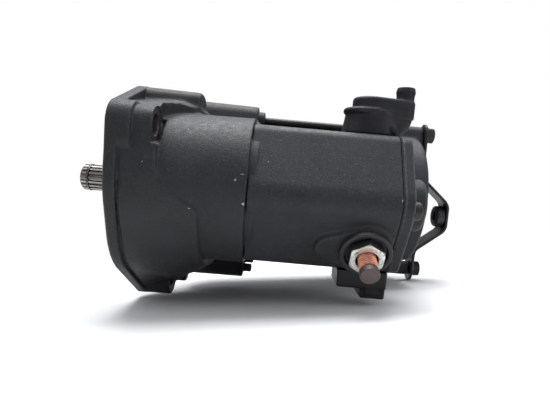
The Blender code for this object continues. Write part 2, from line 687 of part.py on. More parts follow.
def build_bracket():
    pairs = strap_path(0.0, STRAP_T)
    outline = [a for a, b in pairs] + [b for a, b in reversed(pairs)]
    y0, y1 = STRAP_Y - STRAP_W / 2, STRAP_Y + STRAP_W / 2
    n = len(outline)
    verts = [(x, y0, z) for x, z in outline] + [(x, y1, z) for x, z in outline]
    faces = [tuple(range(n)), tuple(range(2 * n - 1, n - 1, -1))]
    faces += [(i, (i + 1) % n, n + (i + 1) % n, n + i) for i in range(n)]
    ob = mesh_object("rear_bracket", verts, faces)
    # the ends are rounded about the bolts
    for s, z0 in ((1, BOLT_Z), (-1, LOW_BOLT_Z)):
        keep = prism("keep", 135.0, 155.0, [(MOTOR_Y - 1.0, z0, 6.0), (STRAP_Y, s * 22.0, 6.6)], 48, (STRAP_Y, s * 32.0))
        frame = box("frame", (136.0, y0 - 5, min(s * 31.0, s * 60.0)), (154.0, y1 + 5, max(s * 31.0, s * 60.0)))
        cut(frame, keep)
        cut(ob, frame)
        cut(ob, rod("bh", 135, 155, BOLT_R + GAP, 20, (MOTOR_Y, z0)))
    cut(ob, rod("nh", 140, 175, 3.4, 20, (STRAP_Y, WELD_NUT_Z)))
    finish(ob, BLACK)
    outer = [(y + STRAP_Y, z + WELD_NUT_Z) for y, z in circle(0, 0, 6.0, 24)]
    inner = circle(STRAP_Y, WELD_NUT_Z, 3.0, 24)
    nut = loft("bracket_nut", [
        (156.6, inner), (156.6, circle(STRAP_Y, WELD_NUT_Z, 5.4, 24)), (157.2, outer), (161.1, outer), (161.1, inner),
    ], closed=True)
    finish(nut, BLACK)


# ------------------------------------------------------------------ terminals
def build_terminals():
    t = towards(TERM_N, facet_point(0.0, TERM_SIDE, TERM_X))
    f = HEX_APOTHEM
    stud_tip = f + 17.3
    stud = lathe("battery_stud", [(18.6, 4.0), (stud_tip - 1.2, 4.0), (stud_tip, 3.1)], 24, matrix=t)
    # flat contact pad at the inner end
    pad = box("pad", (TERM_X - 4.4, -4.5, -4.8), (TERM_X - 0.6, 4.5, 4.8))
    rot = Vector((0, 0, 1)).rotation_difference(Vector(TERM_N)).to_matrix().to_4x4()
    ctr = Vector(facet_point(15.2, TERM_SIDE, 0.0))
    pad.data.transform(Matrix.Translation(ctr * MM) @ rot)
    union(stud, pad)
    finish(stud, COPPER)
    bush = lathe("terminal_insulator", [
        (20.4, 4.3), (20.4, 5.9), (f + 2.9, 5.9), (f + 2.9, 10.3), (f + 5.0, 10.3), (f + 5.4, 9.9), (f + 5.4, 8.3), (f + 3.4, 8.1), (f + 3.4, 4.3),
    ], 32, matrix=t, closed=True)
    finish(bush, PHENOLIC)
    nut = loft("battery_nut", [
        (f + 3.8, hex_ring(12.0, 24, math.radians(30))), (f + 4.3, hex_ring(13.0, 24, math.radians(30))),
        (f + 7.9, hex_ring(13.0, 24, math.radians(30))), (f + 8.4, hex_ring(12.0, 24, math.radians(30))),
        (f + 8.4, circle(0, 0, 4.3, 24)), (f + 3.8, circle(0, 0, 4.3, 24)),
    ], closed=True, matrix=t)
    finish(nut, ZINC)

    t = towards((0, 0, 1), (BOOT_X, 0, 0))
    ms = lathe("motor_stud", [(18.6, 3.0), (39.0, 3.0), (39.8, 2.4)], 20, matrix=t)
    pad = box("pad2", (BOOT_X - 5.8, -4.5, 10.4), (BOOT_X - 2.0, 4.5, 20.0))
    union(ms, pad)
    finish(ms, COPPER)
    ib = lathe("motor_stud_insulator", [(20.4, 3.3), (20.4, 5.9), (f + 0.3, 5.9), (f + 0.3, 7.0), (f + 1.8, 7.0), (f + 1.8, 3.3)], 24, matrix=t, closed=True)
    finish(ib, PHENOLIC)
    mn = loft("motor_stud_nut", [
        (f + 4.2, hex_ring(10.0, 24)), (f + 8.2, hex_ring(10.0, 24)), (f + 8.2, circle(0, 0, 3.3, 24)), (f + 4.2, circle(0, 0, 3.3, 24)),
    ], closed=True, matrix=t)
    finish(mn, ZINC)
    # flat lead from the motor stud over to the field coils, under the boot
    lead = prism("lead_blank", 0.0, 1.6, [(0, 0, 5.2), (0, 9.0, 3.6)], 24, (0, 2))
    me = lead.data
    for v in me.vertices:
        x, y, z = v.co / MM
        v.co = Vector((BOOT_X + y, z, f + 2.1 + x)) * MM
    bm = bmesh.new(); bm.from_mesh(me); bmesh.ops.recalc_face_normals(bm, faces=bm.faces); bm.to_mesh(me); bm.free()
    cut(lead, lathe("lh", [(20.0, 3.3), (60.0, 3.3)], 20, matrix=t))
    arm = mesh_object("arm", [
        (BOOT_X - 3, 8, f + 2.1), (BOOT_X + 3, 8, f + 2.1), (BOOT_X + 3, 19.0, f + 2.1), (BOOT_X - 3, 19.0, f + 2.1),
        (BOOT_X - 3, 8, f + 3.7), (BOOT_X + 3, 8, f + 3.7), (BOOT_X + 3, 19.0, f + 3.7), (BOOT_X - 3, 19.0, f + 3.7),
    ], [(0, 1, 2, 3), (4, 7, 6, 5), (0, 4, 5, 1), (1, 5, 6, 2), (2, 6, 7, 3), (3, 7, 4, 0)])
    union(lead, arm)
    lead.name = "field_lead"
    finish(lead, COPPER)

    # rubber boot over the motor stud
    zb = f + GAP
    low = loft("terminal_boot", [
        (zb, hull_ring([(0, -3.6, 8.9), (0, 3.6, 8.9)], 40, (0, 0), 0.0)),
        (zb + 0.8, hull_ring([(0, -3.6, 9.2), (0, 3.6, 9.2)], 40, (0, 0), 0.0)),
        (zb + 9.0, hull_ring([(0, -3.8, 8.6), (0, 3.0, 8.4)], 40, (0, 0), 0.0)),
        (zb + 11.5, hull_ring([(0, -3.4, 7.0), (0, 2.4, 7.0)], 40, (0, 0), 0.0)),
    ])
    for v in low.data.vertices:
        x, y, z = v.co / MM
        v.co = Vector((BOOT_X + z, y, x)) * MM
    tier = loft("tier", [
        (35.4, hull_ring([(0, 0, 8.3), (0, 13.0, 5.6)], 36, (0, 5), -1.6)),
        (37.2, hull_ring([(0, 0, 8.3), (0, 13.0, 5.6)], 36, (0, 5))),
        (43.2, hull_ring([(0, 0, 8.2), (0, 13.0, 5.5)], 36, (0, 5))),
        (44.6, hull_ring([(0, 0, 8.2), (0, 13.0, 5.5)], 36, (0, 5), -1.6)),
    ])
    for v in tier.data.vertices:
        x, y, z = v.co / MM
        v.co = Vector((BOOT_X + 0.2 + z, y, x)) * MM
    pipe = lathe("pipe", [(38.0, 4.1), (49.4, 4.0), (50.4, 3.2)], 20, matrix=towards((0, 0, 1), (117.4, 0, 0)))
    for o in (low, tier):
        bm = bmesh.new(); bm.from_mesh(o.data); bmesh.ops.recalc_face_normals(bm, faces=bm.faces); bm.to_mesh(o.data); bm.free()
    union(low, tier, pipe)
    # the underside of the tail runs down into the cup
    under = loft("under", [
        (zb, hull_ring([(-1.6, 0, 8.2), (-1.0, 7.2, 6.0)], 36, (0, 4))),
        (37.0, hull_ring([(-0.6, 0, 8.4), (0, 13.0, 5.4)], 36, (0, 4))),
    ])
    for v in under.data.vertices:
        x, y, z = v.co / MM
        v.co = Vector((BOOT_X + z, y, x)) * MM
    bm = bmesh.new(); bm.from_mesh(under.data); bmesh.ops.recalc_face_normals(bm, faces=bm.faces); bm.to_mesh(under.data); bm.free()
    union(low, under)
    room = prism("room", 0.0, 1.0, [(0, -1.2, 7.0), (0, 1.2, 7.0)], 28, (0, 0))
    for v in room.data.vertices:
        x, y, z = v.co / MM
        v.co = Vector((BOOT_X + z, y, 20.0 + x * 21.6)) * MM
    bm = bmesh.new(); bm.from_mesh(room.data); bmesh.ops.recalc_face_normals(bm, faces=bm.faces); bm.to_mesh(room.data); bm.free()
    # opening in the boot's far side for the lead
    exit_ = box("exit", (BOOT_X - 4.2, 0.0, 20.0), (BOOT_X + 4.2, 30.0, f + 4.6))
    bore = lathe("pb", [(40.0, 2.4), (60.0, 2.4)], 14, matrix=towards((0, 0, 1), (117.4, 0, 0)))
    cut(low, room, exit_, bore)
    finish(low, RUBBER)

    # connector block of the coil's control wire
    blk = box("control_terminal_block", (93.0, -16.0, -35.6), (113.8, 2.0, -f - GAP))
    union(blk, box("b2", (103.2, -15.0, -39.8), (113.6, 1.0, -33.0)))
    cut(blk, box("pocket", (105.0, -13.4, -50.0), (112.2, -1.0, -31.0)), box("slit", (106.2, -9.9, -33.0), (111.2, -5.1, -20.0)))
    finish(blk, PLASTIC)
    blade = box("control_blade", (106.5, -7.9, -38.6), (110.9, -7.1, -20.4))
    finish(blade, ZINC)


# ------------------------------------------------------------------- solenoid
def build_solenoid():
    s = lathe("coil_bobbin", [
        (63.0, 12.6), (63.0, 21.6), (65.0, 21.6), (65.0, 14.2), (93.0, 14.2), (93.0, 21.6), (95.0, 21.6), (95.0, 12.6),
    ], 40, closed=True)
    finish(s, PHENOLIC)
    w = tube("solenoid_winding", 65.3, 92.7, 21.2, 14.5, 40, c=0.8)
    finish(w, VARNISH)
    core = lathe("solenoid_core", [
        (57.9, 4.4), (57.9, 21.6), (62.7, 21.6), (62.7, 11.9), (60.2, 11.9), (60.2, 4.4)], 40, closed=True)
    finish(core, DARK_STEEL)
    # plunger: hollow nose for the return spring, rear rod carries the contact disc
    p = lathe("plunger", [
        (71.6, 8.9), (71.6, 11.4), (72.4, 12.2), (96.0, 12.2), (97.0, 11.2), (97.0, 4.0), (110.3, 4.0), (110.3, 6.5), (110.5, 6.5), (110.5, 4.0), (118.2, 4.0), (118.8, 3.4), (118.8, 0.9), (92.0, 0.9), (92.0, 0.5), (84.0, 0.5), (84.0, 8.9)], 32, closed=True)
    # push rod that bears on the end of the output shaft
    union(p, lathe("push_rod", [(50.6, 3.2), (51.2, 3.8), (83.0, 3.8), (88.0, 3.8)], 20))
    finish(p, DARK_STEEL, pivot=(84.0, 0, 0))
    d = tube("contact_disc", 110.8, 112.8, 17.6, 4.4, 40)
    finish(d, COPPER, pivot=(84.0, 0, 0))
    helix("return_spring", 60.8, 83.2, 6.4, 0.65, 5.0, DARK_STEEL)


def helix(name, x0, x1, r, wire, turns, mat, per=11, sides=4):
    """Coil spring whose wire ends are cut square."""
    rings = []
    total = int(turns * per)
    span = x1 - x0 - 2 * wire
    for i in range(total + 1):
        u = i / total
        # closed end coils
        k = max(0.0, min(1.0, (u - 0.1) / 0.8))
        x = x0 + wire + span * (0.06 * min(u / 0.1, 1.0) + 0.88 * k + 0.06 * max(0.0, (u - 0.9) / 0.1))
        a = 2 * math.pi * turns * u
        c = Vector((x, r * math.cos(a), r * math.sin(a)))
        rad = Vector((0, math.cos(a), math.sin(a)))
        ax = Vector((1, 0, 0))
        rings.append([c + rad * wire * math.cos(2 * math.pi * k2 / sides) + ax * wire * math.sin(2 * math.pi * k2 / sides) for k2 in range(sides)])
    verts = [tuple(v) for ring in rings for v in ring]
    faces = []
    for i in range(total):
        for k in range(sides):
            j = (k + 1) % sides
            faces.append((i * sides + k, i * sides + j, (i + 1) * sides + j, (i + 1) * sides + k))
    faces.append(tuple(range(sides)))
    faces.append(tuple(total * sides + k for k in range(sides)))
    ob = mesh_object(name, verts, faces)
    return finish(ob, mat, angle=60)


# ---------------------------------------------------------------- drive train
def build_drive_train():
    seal = lathe("shaft_seal", [
        (1.4, 7.4), (1.4, 11.3), (6.4, 11.3), (6.4, 8.6), (5.2, 6.62), (4.6, 6.62), (3.6, 7.4)], 32, closed=True)
    finish(seal, RUBBER)
    finish(tube("nose_bush", 7.2, 18.0, 8.5, 6.3 + RUN, 32), BRONZE)
    # output shaft: splined tip, snap-ring groove, plain journal, drive splines
    tip = spline_ring(SPLINE_N, SPLINE_RO, SPLINE_RI)
    small = spline_ring(SPLINE_N, SPLINE_RO - 0.6, SPLINE_RI - 0.5)
    sh = loft("output_shaft", [(-16.2, tip), (0.6, tip)])
    union(sh, loft("tip", [(SHAFT_TIP_X, small), (SHAFT_TIP_X + 0.7, tip), (-17.3, tip)]), rod("neck", -18.0, -15.0, 4.4, 32))
    journal = lathe("journal", [(-1.2, 5.2), (-0.2, 6.3), (29.4, 6.3), (29.4, 5.9), (50.1, 5.9)], 40)
    drive = loft("drive", [(30.0, spline_ring(10, 7.6, 6.4)), (49.8, spline_ring(10, 7.6, 6.4))])
    union(sh, journal, drive)
    finish(sh, STEEL, pivot=(0, 0, 0))
    ring = tube("snap_ring", -17.15, -16.35, 5.9, 4.6, 40)
    cut(ring, box("split", (-20, -0.8, 3.0), (-10, 0.8, 9.0)))
    finish(ring, DARK_STEEL, pivot=(0, 0, 0))
    # inner sleeve of the overrunning clutch
    sleeve = lathe("clutch_sleeve", [
        (21.0, 10.6), (21.0, 12.0), (45.6, 12.0), (45.6, 10.0), (53.4, 10.0), (53.4, 9.0)], 40)
    inner = loft("inner", [(10.0, spline_ring(10, 8.0, 6.8, frac=0.50)), (60.0, spline_ring(10, 8.0, 6.8, frac=0.50))])
    cut(sleeve, inner)
    finish(sleeve, STEEL, pivot=(0, 0, 0))
    # clutch gear with its drum and hub
    g = gear("clutch_gear", CLUTCH_C, Z_CLUTCH, A_CLUTCH, GEAR_X0, GEAR_X1, 1)
    drum = lathe("drum", [(11.5, 17.0), (12.0, 17.5), (19.0, 17.5), (21.0, 22.0), (43.3, 22.0), (43.8, 21.5)], 48)
    union(g, drum)
    cut(g, lathe("db", [(5.0, 14.0), (20.2, 14.0), (20.2, 17.7), (50.0, 17.7)], 40))
    finish(g, STEEL, pivot=(0, 0, 0))
    finish(tube("clutch_bush", 11.8, 17.9, 13.7, 12.0 + 0.1, 32), BRONZE)
    # wedging rollers of the clutch, held by their retainer ring
    cage = tube("clutch_rollers", 37.0, 41.0, 17.3, 12.4, 40)
    for k in range(6):
        a = 2 * math.pi * (k + 0.25) / 6
        r = 14.85
        union(cage, rod("roller", 24.0, 38.0, 2.4, 16, (r * math.cos(a), r * math.sin(a)), 0.3))
    finish(cage, STEEL, pivot=(0, 0, 0))
    finish(bearing("sleeve_bearing", 46.6, 53.4, 16.7, 10.0 + RUN, (0.0, 0.0)), STEEL)
    # idler on its fixed pin
    idl = gear("idler_gear", IDLER_C, Z_IDLER, A_IDLER, 28.0, 38.5, 2)
    cut(idl, rod("ib", 20, 50, 6.3, 32, IDLER_C))
    finish(idl, STEEL, pivot=(33.0, IDLER_C[0], IDLER_C[1]))
    finish(tube("idler_rollers", 28.3, 38.2, 6.1, 4.1, 32, IDLER_C), BRONZE, pivot=(33.0, IDLER_C[0], IDLER_C[1]))
    finish(rod("idler_pin", 19.5, 47.4, 3.95, 24, IDLER_C, 0.4), STEEL)
    # bearing plate between the gear chamber and the motor
    pl = rod("bearing_plate", 44.3, 53.4, 28.7, 48, (MOTOR_Y, 0))
    cut(pl, rod("seat", 46.3, 60.0, 16.4, 44, (MOTOR_Y, 0)), rod("hole", 40.0, 50.0, 9.0, 28, (MOTOR_Y, 0)),
        rod("ph", 40.0, 48.0, 4.15, 20, IDLER_C))
    finish(pl, LAMINATION)


# ------------------------------------------------------------------- armature
def build_armature():
    c = (MOTOR_Y, 0.0)
    pv = (84.0, MOTOR_Y, 0.0)
    sh = gear("armature_shaft", c, Z_PINION, A_PINION, 28.0, 40.5, 3)
    shaft = lathe("shaft", [
        (39.5, 5.6), (42.6, 7.5), (56.0, 7.5), (56.0, 8.4), (122.0, 8.4), (124.0, 6.2), (128.0, 6.2), (128.0, 5.0), (135.4, 5.0), (136.0, 4.4)], 32, c)
    union(sh, shaft)
    finish(sh, STEEL, pivot=pv)
    # laminated core with slots
    slots = 16
    pts = []
    for k in range(slots):
        a = 2 * math.pi * k / slots
        w = math.pi / slots
        for r, t in ((26.1, -w * 0.72), (26.1, 0.0), (26.1, w * 0.72), (23.4, w * 0.80), (23.4, w * 1.20)):
            pts.append((MOTOR_Y + r * math.cos(a + t), r * math.sin(a + t)))
    core = loft("armature_core", [(69.0, pts), (97.0, pts)])
    cut(core, rod("cb", 60, 110, 8.7, 32, c))
    finish(core, LAMINATION, pivot=pv)
    finish(lathe("armature_winding_front", [(58.6, 12.0), (59.6, 19.0), (62.5, 23.4), (66.5, 24.6), (68.7, 23.6), (68.7, 8.7), (58.6, 8.7)], 36, c, closed=True), VARNISH, pivot=pv)
    finish(lathe("armature_winding_rear", [(97.3, 8.7), (97.3, 23.6), (99.5, 24.4), (102.0, 22.5), (105.4, 16.5), (105.4, 8.7)], 36, c, closed=True), VARNISH, pivot=pv)
    com = lathe("commutator", [(105.7, 8.7), (105.7, 15.6), (108.0, 15.6), (108.0, 14.0), (120.4, 14.0), (121.0, 13.4), (121.0, 8.7)], 40, c, closed=True)
    finish(com, COPPER, pivot=pv)
    finish(bearing("front_bearing", 46.7, 53.2, 16.0, 7.5 + RUN, c), STEEL)
    finish(bearing("rear_bearing", 128.4, 135.9, 13.1, 5.0 + RUN, c), STEEL)
    # brush plate with four holders
    pl = tube("brush_plate", 121.6, 123.8, 31.0, 17.2, 40, c)
    for k in range(4):
        a = math.radians(90 * k)
        m = Matrix.Translation(Vector((0, MOTOR_Y, 0)) * MM) @ Matrix.Rotation(a, 4, "X")
        hold = box("hold", (109.2, 16.4, -5.2), (122.6, 28.4, 5.2))
        cut(hold, box("slot", (110.6, 10.0, -3.9), (120.6, 26.8, 3.9)))
        hold.data.transform(m)
        union(pl, hold)
        b = box("brush_%d" % (k + 1), (110.9, 14.35, -3.6), (120.2, 22.6, 3.6))
        b.data.transform(m)
        finish(b, CARBON)
    finish(pl, PHENOLIC)


def main():
    clear_scene()
    make_materials()
    build_drive_housing()
    build_solenoid_housing()
    build_cover()
    build_motor_shell()
    build_through_bolts()
    build_bracket()
    build_terminals()
    build_solenoid()
    build_drive_train()
    build_armature()
    # origin at the centre of the output shaft's end face
    for ob in bpy.data.objects:
        ob.location.x -= SHAFT_TIP_X * MM


main()
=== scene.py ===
"""Looks of a starter motor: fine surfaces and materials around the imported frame.

Lengths are in millimetres unless a comment says otherwise.  X runs back from the
mounting face; Y and Z are measured from the output shaft's axis, with Z up.  The
shaft's tip points along -X and the motor lies beside the shaft, towards +Y.  "Near"
is -Y, where the camera stands.  FACE_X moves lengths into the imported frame.
"""
import math
from functools import cached_property

import bmesh
import bpy
import numpy as np
from mathutils import Matrix, Vector


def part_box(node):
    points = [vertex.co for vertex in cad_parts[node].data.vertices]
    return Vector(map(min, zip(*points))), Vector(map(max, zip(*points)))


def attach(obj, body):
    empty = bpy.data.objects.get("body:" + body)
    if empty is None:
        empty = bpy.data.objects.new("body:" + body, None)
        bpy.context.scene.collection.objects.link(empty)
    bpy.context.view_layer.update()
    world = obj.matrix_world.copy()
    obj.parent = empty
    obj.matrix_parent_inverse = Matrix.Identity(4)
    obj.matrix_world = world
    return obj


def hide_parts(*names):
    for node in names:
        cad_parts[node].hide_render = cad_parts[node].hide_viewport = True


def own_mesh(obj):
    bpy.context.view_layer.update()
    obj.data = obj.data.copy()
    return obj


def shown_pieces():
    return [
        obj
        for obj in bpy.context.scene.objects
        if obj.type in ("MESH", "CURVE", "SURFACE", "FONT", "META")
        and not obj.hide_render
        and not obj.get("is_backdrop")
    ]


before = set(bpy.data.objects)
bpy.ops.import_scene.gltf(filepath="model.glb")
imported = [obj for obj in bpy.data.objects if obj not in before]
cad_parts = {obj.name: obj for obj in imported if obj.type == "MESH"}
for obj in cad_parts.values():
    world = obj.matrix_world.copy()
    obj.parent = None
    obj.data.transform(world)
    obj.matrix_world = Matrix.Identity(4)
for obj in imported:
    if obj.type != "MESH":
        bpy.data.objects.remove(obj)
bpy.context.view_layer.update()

COARSE = 1.0                    # grid steps grow by this in a quick build
MM = 0.001
SHAFT_TIP_X = -20.3
FACE_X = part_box("output_shaft")[0][0] / MM - SHAFT_TIP_X     # packed x of the mounting face

MOTOR_Y = 60.0                                    # the motor's axis
MOTOR_AXIS = (MOTOR_Y, 0.0)
BOLT_Z, LOW_BOLT_Z = 37.45, -39.7                 # through bolts, above and below that axis
BOLTS = (BOLT_Z, LOW_BOLT_Z)
IDLER = (40.20833, 12.17)                         # y, z of the idler's axis
NEAR_HOLE, LOW_HOLE = (-23.0, 23.4), (24.0, -48.0)     # y, z of the flange's bolt holes
BOSS_X = 16.8                                     # rear end of the bosses round them
SCREWS = ((-25.0, -1.0), (12.8, 22.4), (12.8, -22.4))  # y, z of the cover's screws
NUT_AXIS = (58.5, -8.0)                           # y, z of the bracket's nut

APOTHEM = 28.1                                    # of the hexagonal solenoid housing
C30, S30 = math.cos(math.radians(30)), math.sin(math.radians(30))
BATTERY_OUT = np.array([0.0, -C30, -S30])         # battery terminal's axis, outwards
BATTERY_UP = np.array([0.0, -S30, C30])           # along its facet, upwards
BATTERY_X, BATTERY_SIDE = 101.6, -3.4             # its place along X and BATTERY_UP
BATTERY_ORIGIN = (BATTERY_X, BATTERY_UP[1] * BATTERY_SIDE, BATTERY_UP[2] * BATTERY_SIDE)
BOOT_X = 103.0                                    # motor stud under the rubber boot
UP = (0, 0, 1)


# ============================================================ mesh making
def packed(x, y, z):
    """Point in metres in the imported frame."""
    return ((x + FACE_X) * MM, y * MM, z * MM)


def add_mesh(name, points, faces, materials, angle, slots=None):
    """Faces are an array of quads or a list of tuples; edges over angle are sharp."""
    points = np.array(points, dtype=np.float64)
    points[:, 0] += FACE_X
    points *= MM
    mesh = bpy.data.meshes.new(name)
    if isinstance(faces, np.ndarray):
        mesh.vertices.add(len(points))
        mesh.vertices.foreach_set("co", points.astype(np.float32).ravel())
        mesh.loops.add(faces.size)
        mesh.loops.foreach_set("vertex_index", faces.astype(np.int32).ravel())
        mesh.polygons.add(len(faces))
        mesh.polygons.foreach_set("loop_start", np.arange(0, faces.size, 4, dtype=np.int32))
        mesh.polygons.foreach_set("loop_total", np.full(len(faces), 4, dtype=np.int32))
        mesh.update(calc_edges=True)
    else:
        mesh.from_pydata([tuple(p) for p in points], [], faces)
    mesh.validate()
    ob = bpy.data.objects.new(name, mesh)
    bpy.context.scene.collection.objects.link(ob)
    for key in materials:
        mesh.materials.append(MAT[key])
    if slots is not None:
        mesh.polygons.foreach_set("material_index", np.asarray(slots, dtype=np.int32))
    mesh.shade_smooth()
    mesh.set_sharp_from_angle(angle=math.radians(angle))
    return ob


def skin(name, rings, materials, closed=False, angle=30.0):
    """Skins rings of points.  The end rings are capped unless the loop is closed."""
    count, stations = len(rings[0]), len(rings)
    faces = []
    for k in range(stations if closed else stations - 1):
        here, there = k * count, (k + 1) % stations * count
        for i in range(count):
            j = (i + 1) % count
            faces.append((here + i, here + j, there + j, there + i))
    if not closed:
        faces.append(tuple(range(count - 1, -1, -1)))
        faces.append(tuple(range((stations - 1) * count, stations * count)))
    points = np.concatenate([np.asarray(r, float) for r in rings])
    ob = add_mesh(name, points, faces, materials, angle)
    bm = bmesh.new()
    bm.from_mesh(ob.data)
    bmesh.ops.recalc_face_normals(bm, faces=bm.faces)
    bm.to_mesh(ob.data)
    bm.free()
    return ob


def axis_matrix(axis, origin):
    """Matrix that lays local X along axis, from origin."""
    turn = Vector(axis).normalized().to_track_quat("X", "Z").to_matrix().to_4x4()
    return np.array(Matrix.Translation(Vector(origin)) @ turn)


BATTERY_MATRIX = axis_matrix(tuple(BATTERY_OUT), BATTERY_ORIGIN)
MOTOR_STUD_MATRIX = axis_matrix(UP, (BOOT_X, 0, 0))


def turned(name, profile, count, materials, centre=(0.0, 0.0), closed=False,
           matrix=None, angle=30.0):
    """Turns (x, radius) stations about X through centre (y, z), or about matrix's X.

    A radius is a number, an array over the ring, or a function of angle.
    """
    t = np.linspace(0, 2 * np.pi, count, endpoint=False)
    rings = []
    for x, r in profile:
        r = r(t) if callable(r) else r
        ring = np.stack([np.full(count, x), centre[0] + r * np.cos(t),
                         centre[1] + r * np.sin(t)], 1)
        if matrix is not None:
            ring = ring @ matrix[:3, :3].T + matrix[:3, 3]
        rings.append(ring)
    return skin(name, rings, materials, closed, angle)


def thread(start, end, step, first, second):
    """Stations of a thread: radii first and second in turn, every step."""
    stations = []
    x = start
    while (end - x) * step > 0:
        stations.append((x, second if len(stations) % 2 else first))
        x += step
    return stations


def hexagon(across_flats, phase, blunt):
    """Radius of a hexagon by angle, its corners cut back by blunt."""
    def radius(t):
        off_flat = np.mod(t - phase, np.pi / 3) - np.pi / 6
        corner = across_flats / 2 / math.cos(math.pi / 6) - blunt
        return np.minimum(across_flats / 2 / np.cos(off_flat), corner)
    return radius


def capped(outline, limit):
    """Outline held within a radius."""
    return lambda t: np.minimum(outline(t), limit)


def register(ob, node, rides="housing"):
    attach(ob, rides)
    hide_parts(node)


# ============================================================ solid fields
# A field is negative inside the solid.  A section is a 2-D field over Y and Z.
def belt_polygon(circles, count=72):
    """Anticlockwise convex hull of circles (y, z, radius)."""
    t = np.linspace(0, 2 * np.pi, count, endpoint=False)
    points = []
    for y, z, r in circles:
        points += zip(y + r * np.cos(t), z + r * np.sin(t))
    points = sorted(set((round(a, 5), round(b, 5)) for a, b in points))

    def half(sequence):
        out = []
        for p in sequence:
            while len(out) > 1 and ((out[-1][0] - out[-2][0]) * (p[1] - out[-2][1])
                                    - (out[-1][1] - out[-2][1]) * (p[0] - out[-2][0])) <= 0:
                out.pop()
            out.append(p)
        return out[:-1]

    return np.array(half(points) + half(reversed(points)))


def polygon_distance(polygon, Y, Z):
    """Signed distance of points to a convex anticlockwise polygon."""
    squared = np.full(Y.shape, 1e9, np.float32)
    side = np.full(Y.shape, -1e9, np.float32)
    for (ay, az), (by, bz) in zip(polygon, np.roll(polygon, -1, axis=0)):
        ey, ez = by - ay, bz - az
        length2 = ey * ey + ez * ez
        wy, wz = Y - ay, Z - az
        t = np.clip((wy * ey + wz * ez) / length2, 0, 1)
        squared = np.minimum(squared, (wy - ey * t) ** 2 + (wz - ez * t) ** 2)
        side = np.maximum(side, (wy * ez - wz * ey) / math.sqrt(length2))
    return np.where(side < 0, -np.sqrt(squared), np.sqrt(squared)).astype(np.float32)


def capsule(across, along, start_radius, end_radius, length):
    """Distance to a belt round two circles, at 0 and at length along the axis."""
    across = np.abs(across)
    b = (start_radius - end_radius) / length
    a = math.sqrt(1 - b * b)
    turn = -b * across + a * along
    start = np.hypot(across, along) - start_radius
    end = np.hypot(across, along - length) - end_radius
    flank = across * a + along * b - start_radius
    return np.where(turn < 0, start, np.where(turn > a * length, end, flank)).astype(np.float32)


def join(a, b, blend):
    """Union with a smooth fillet."""
    h = np.clip(0.5 + 0.5 * (b - a) / blend, 0, 1)
    return (b + (a - b) * h - blend * h * (1 - h)).astype(np.float32)


def meet(a, b, blend):
    """Intersection with a smooth edge."""
    return -join(-a, -b, blend)


def carve(body, tool, blend):
    """Takes tool away, with a smooth edge."""
    return meet(body, -tool, blend)


def cut(body, tool):
    return np.maximum(body, -tool)


def between(value, low, high):
    return np.maximum(low - value, value - high)


def rounded(a, b, rounding):
    """Intersection of two fields with a rounded edge."""
    a = a + rounding
    b = b + rounding
    corner = np.sqrt(np.maximum(a, 0) ** 2 + np.maximum(b, 0) ** 2)
    return (np.minimum(np.maximum(a, b), 0) + corner - rounding).astype(np.float32)


def slab(section, across, start, end, rounding, grow_end=0.0, grow_start=0.0):
    """Section kept between start and end of the coordinate across; it may taper."""
    t = np.clip((across - start) / (end - start), 0, 1)
    sides = section - (grow_start + (grow_end - grow_start) * t)
    ends = np.abs(across - (start + end) / 2) - (end - start) / 2
    return rounded(sides, ends, rounding)


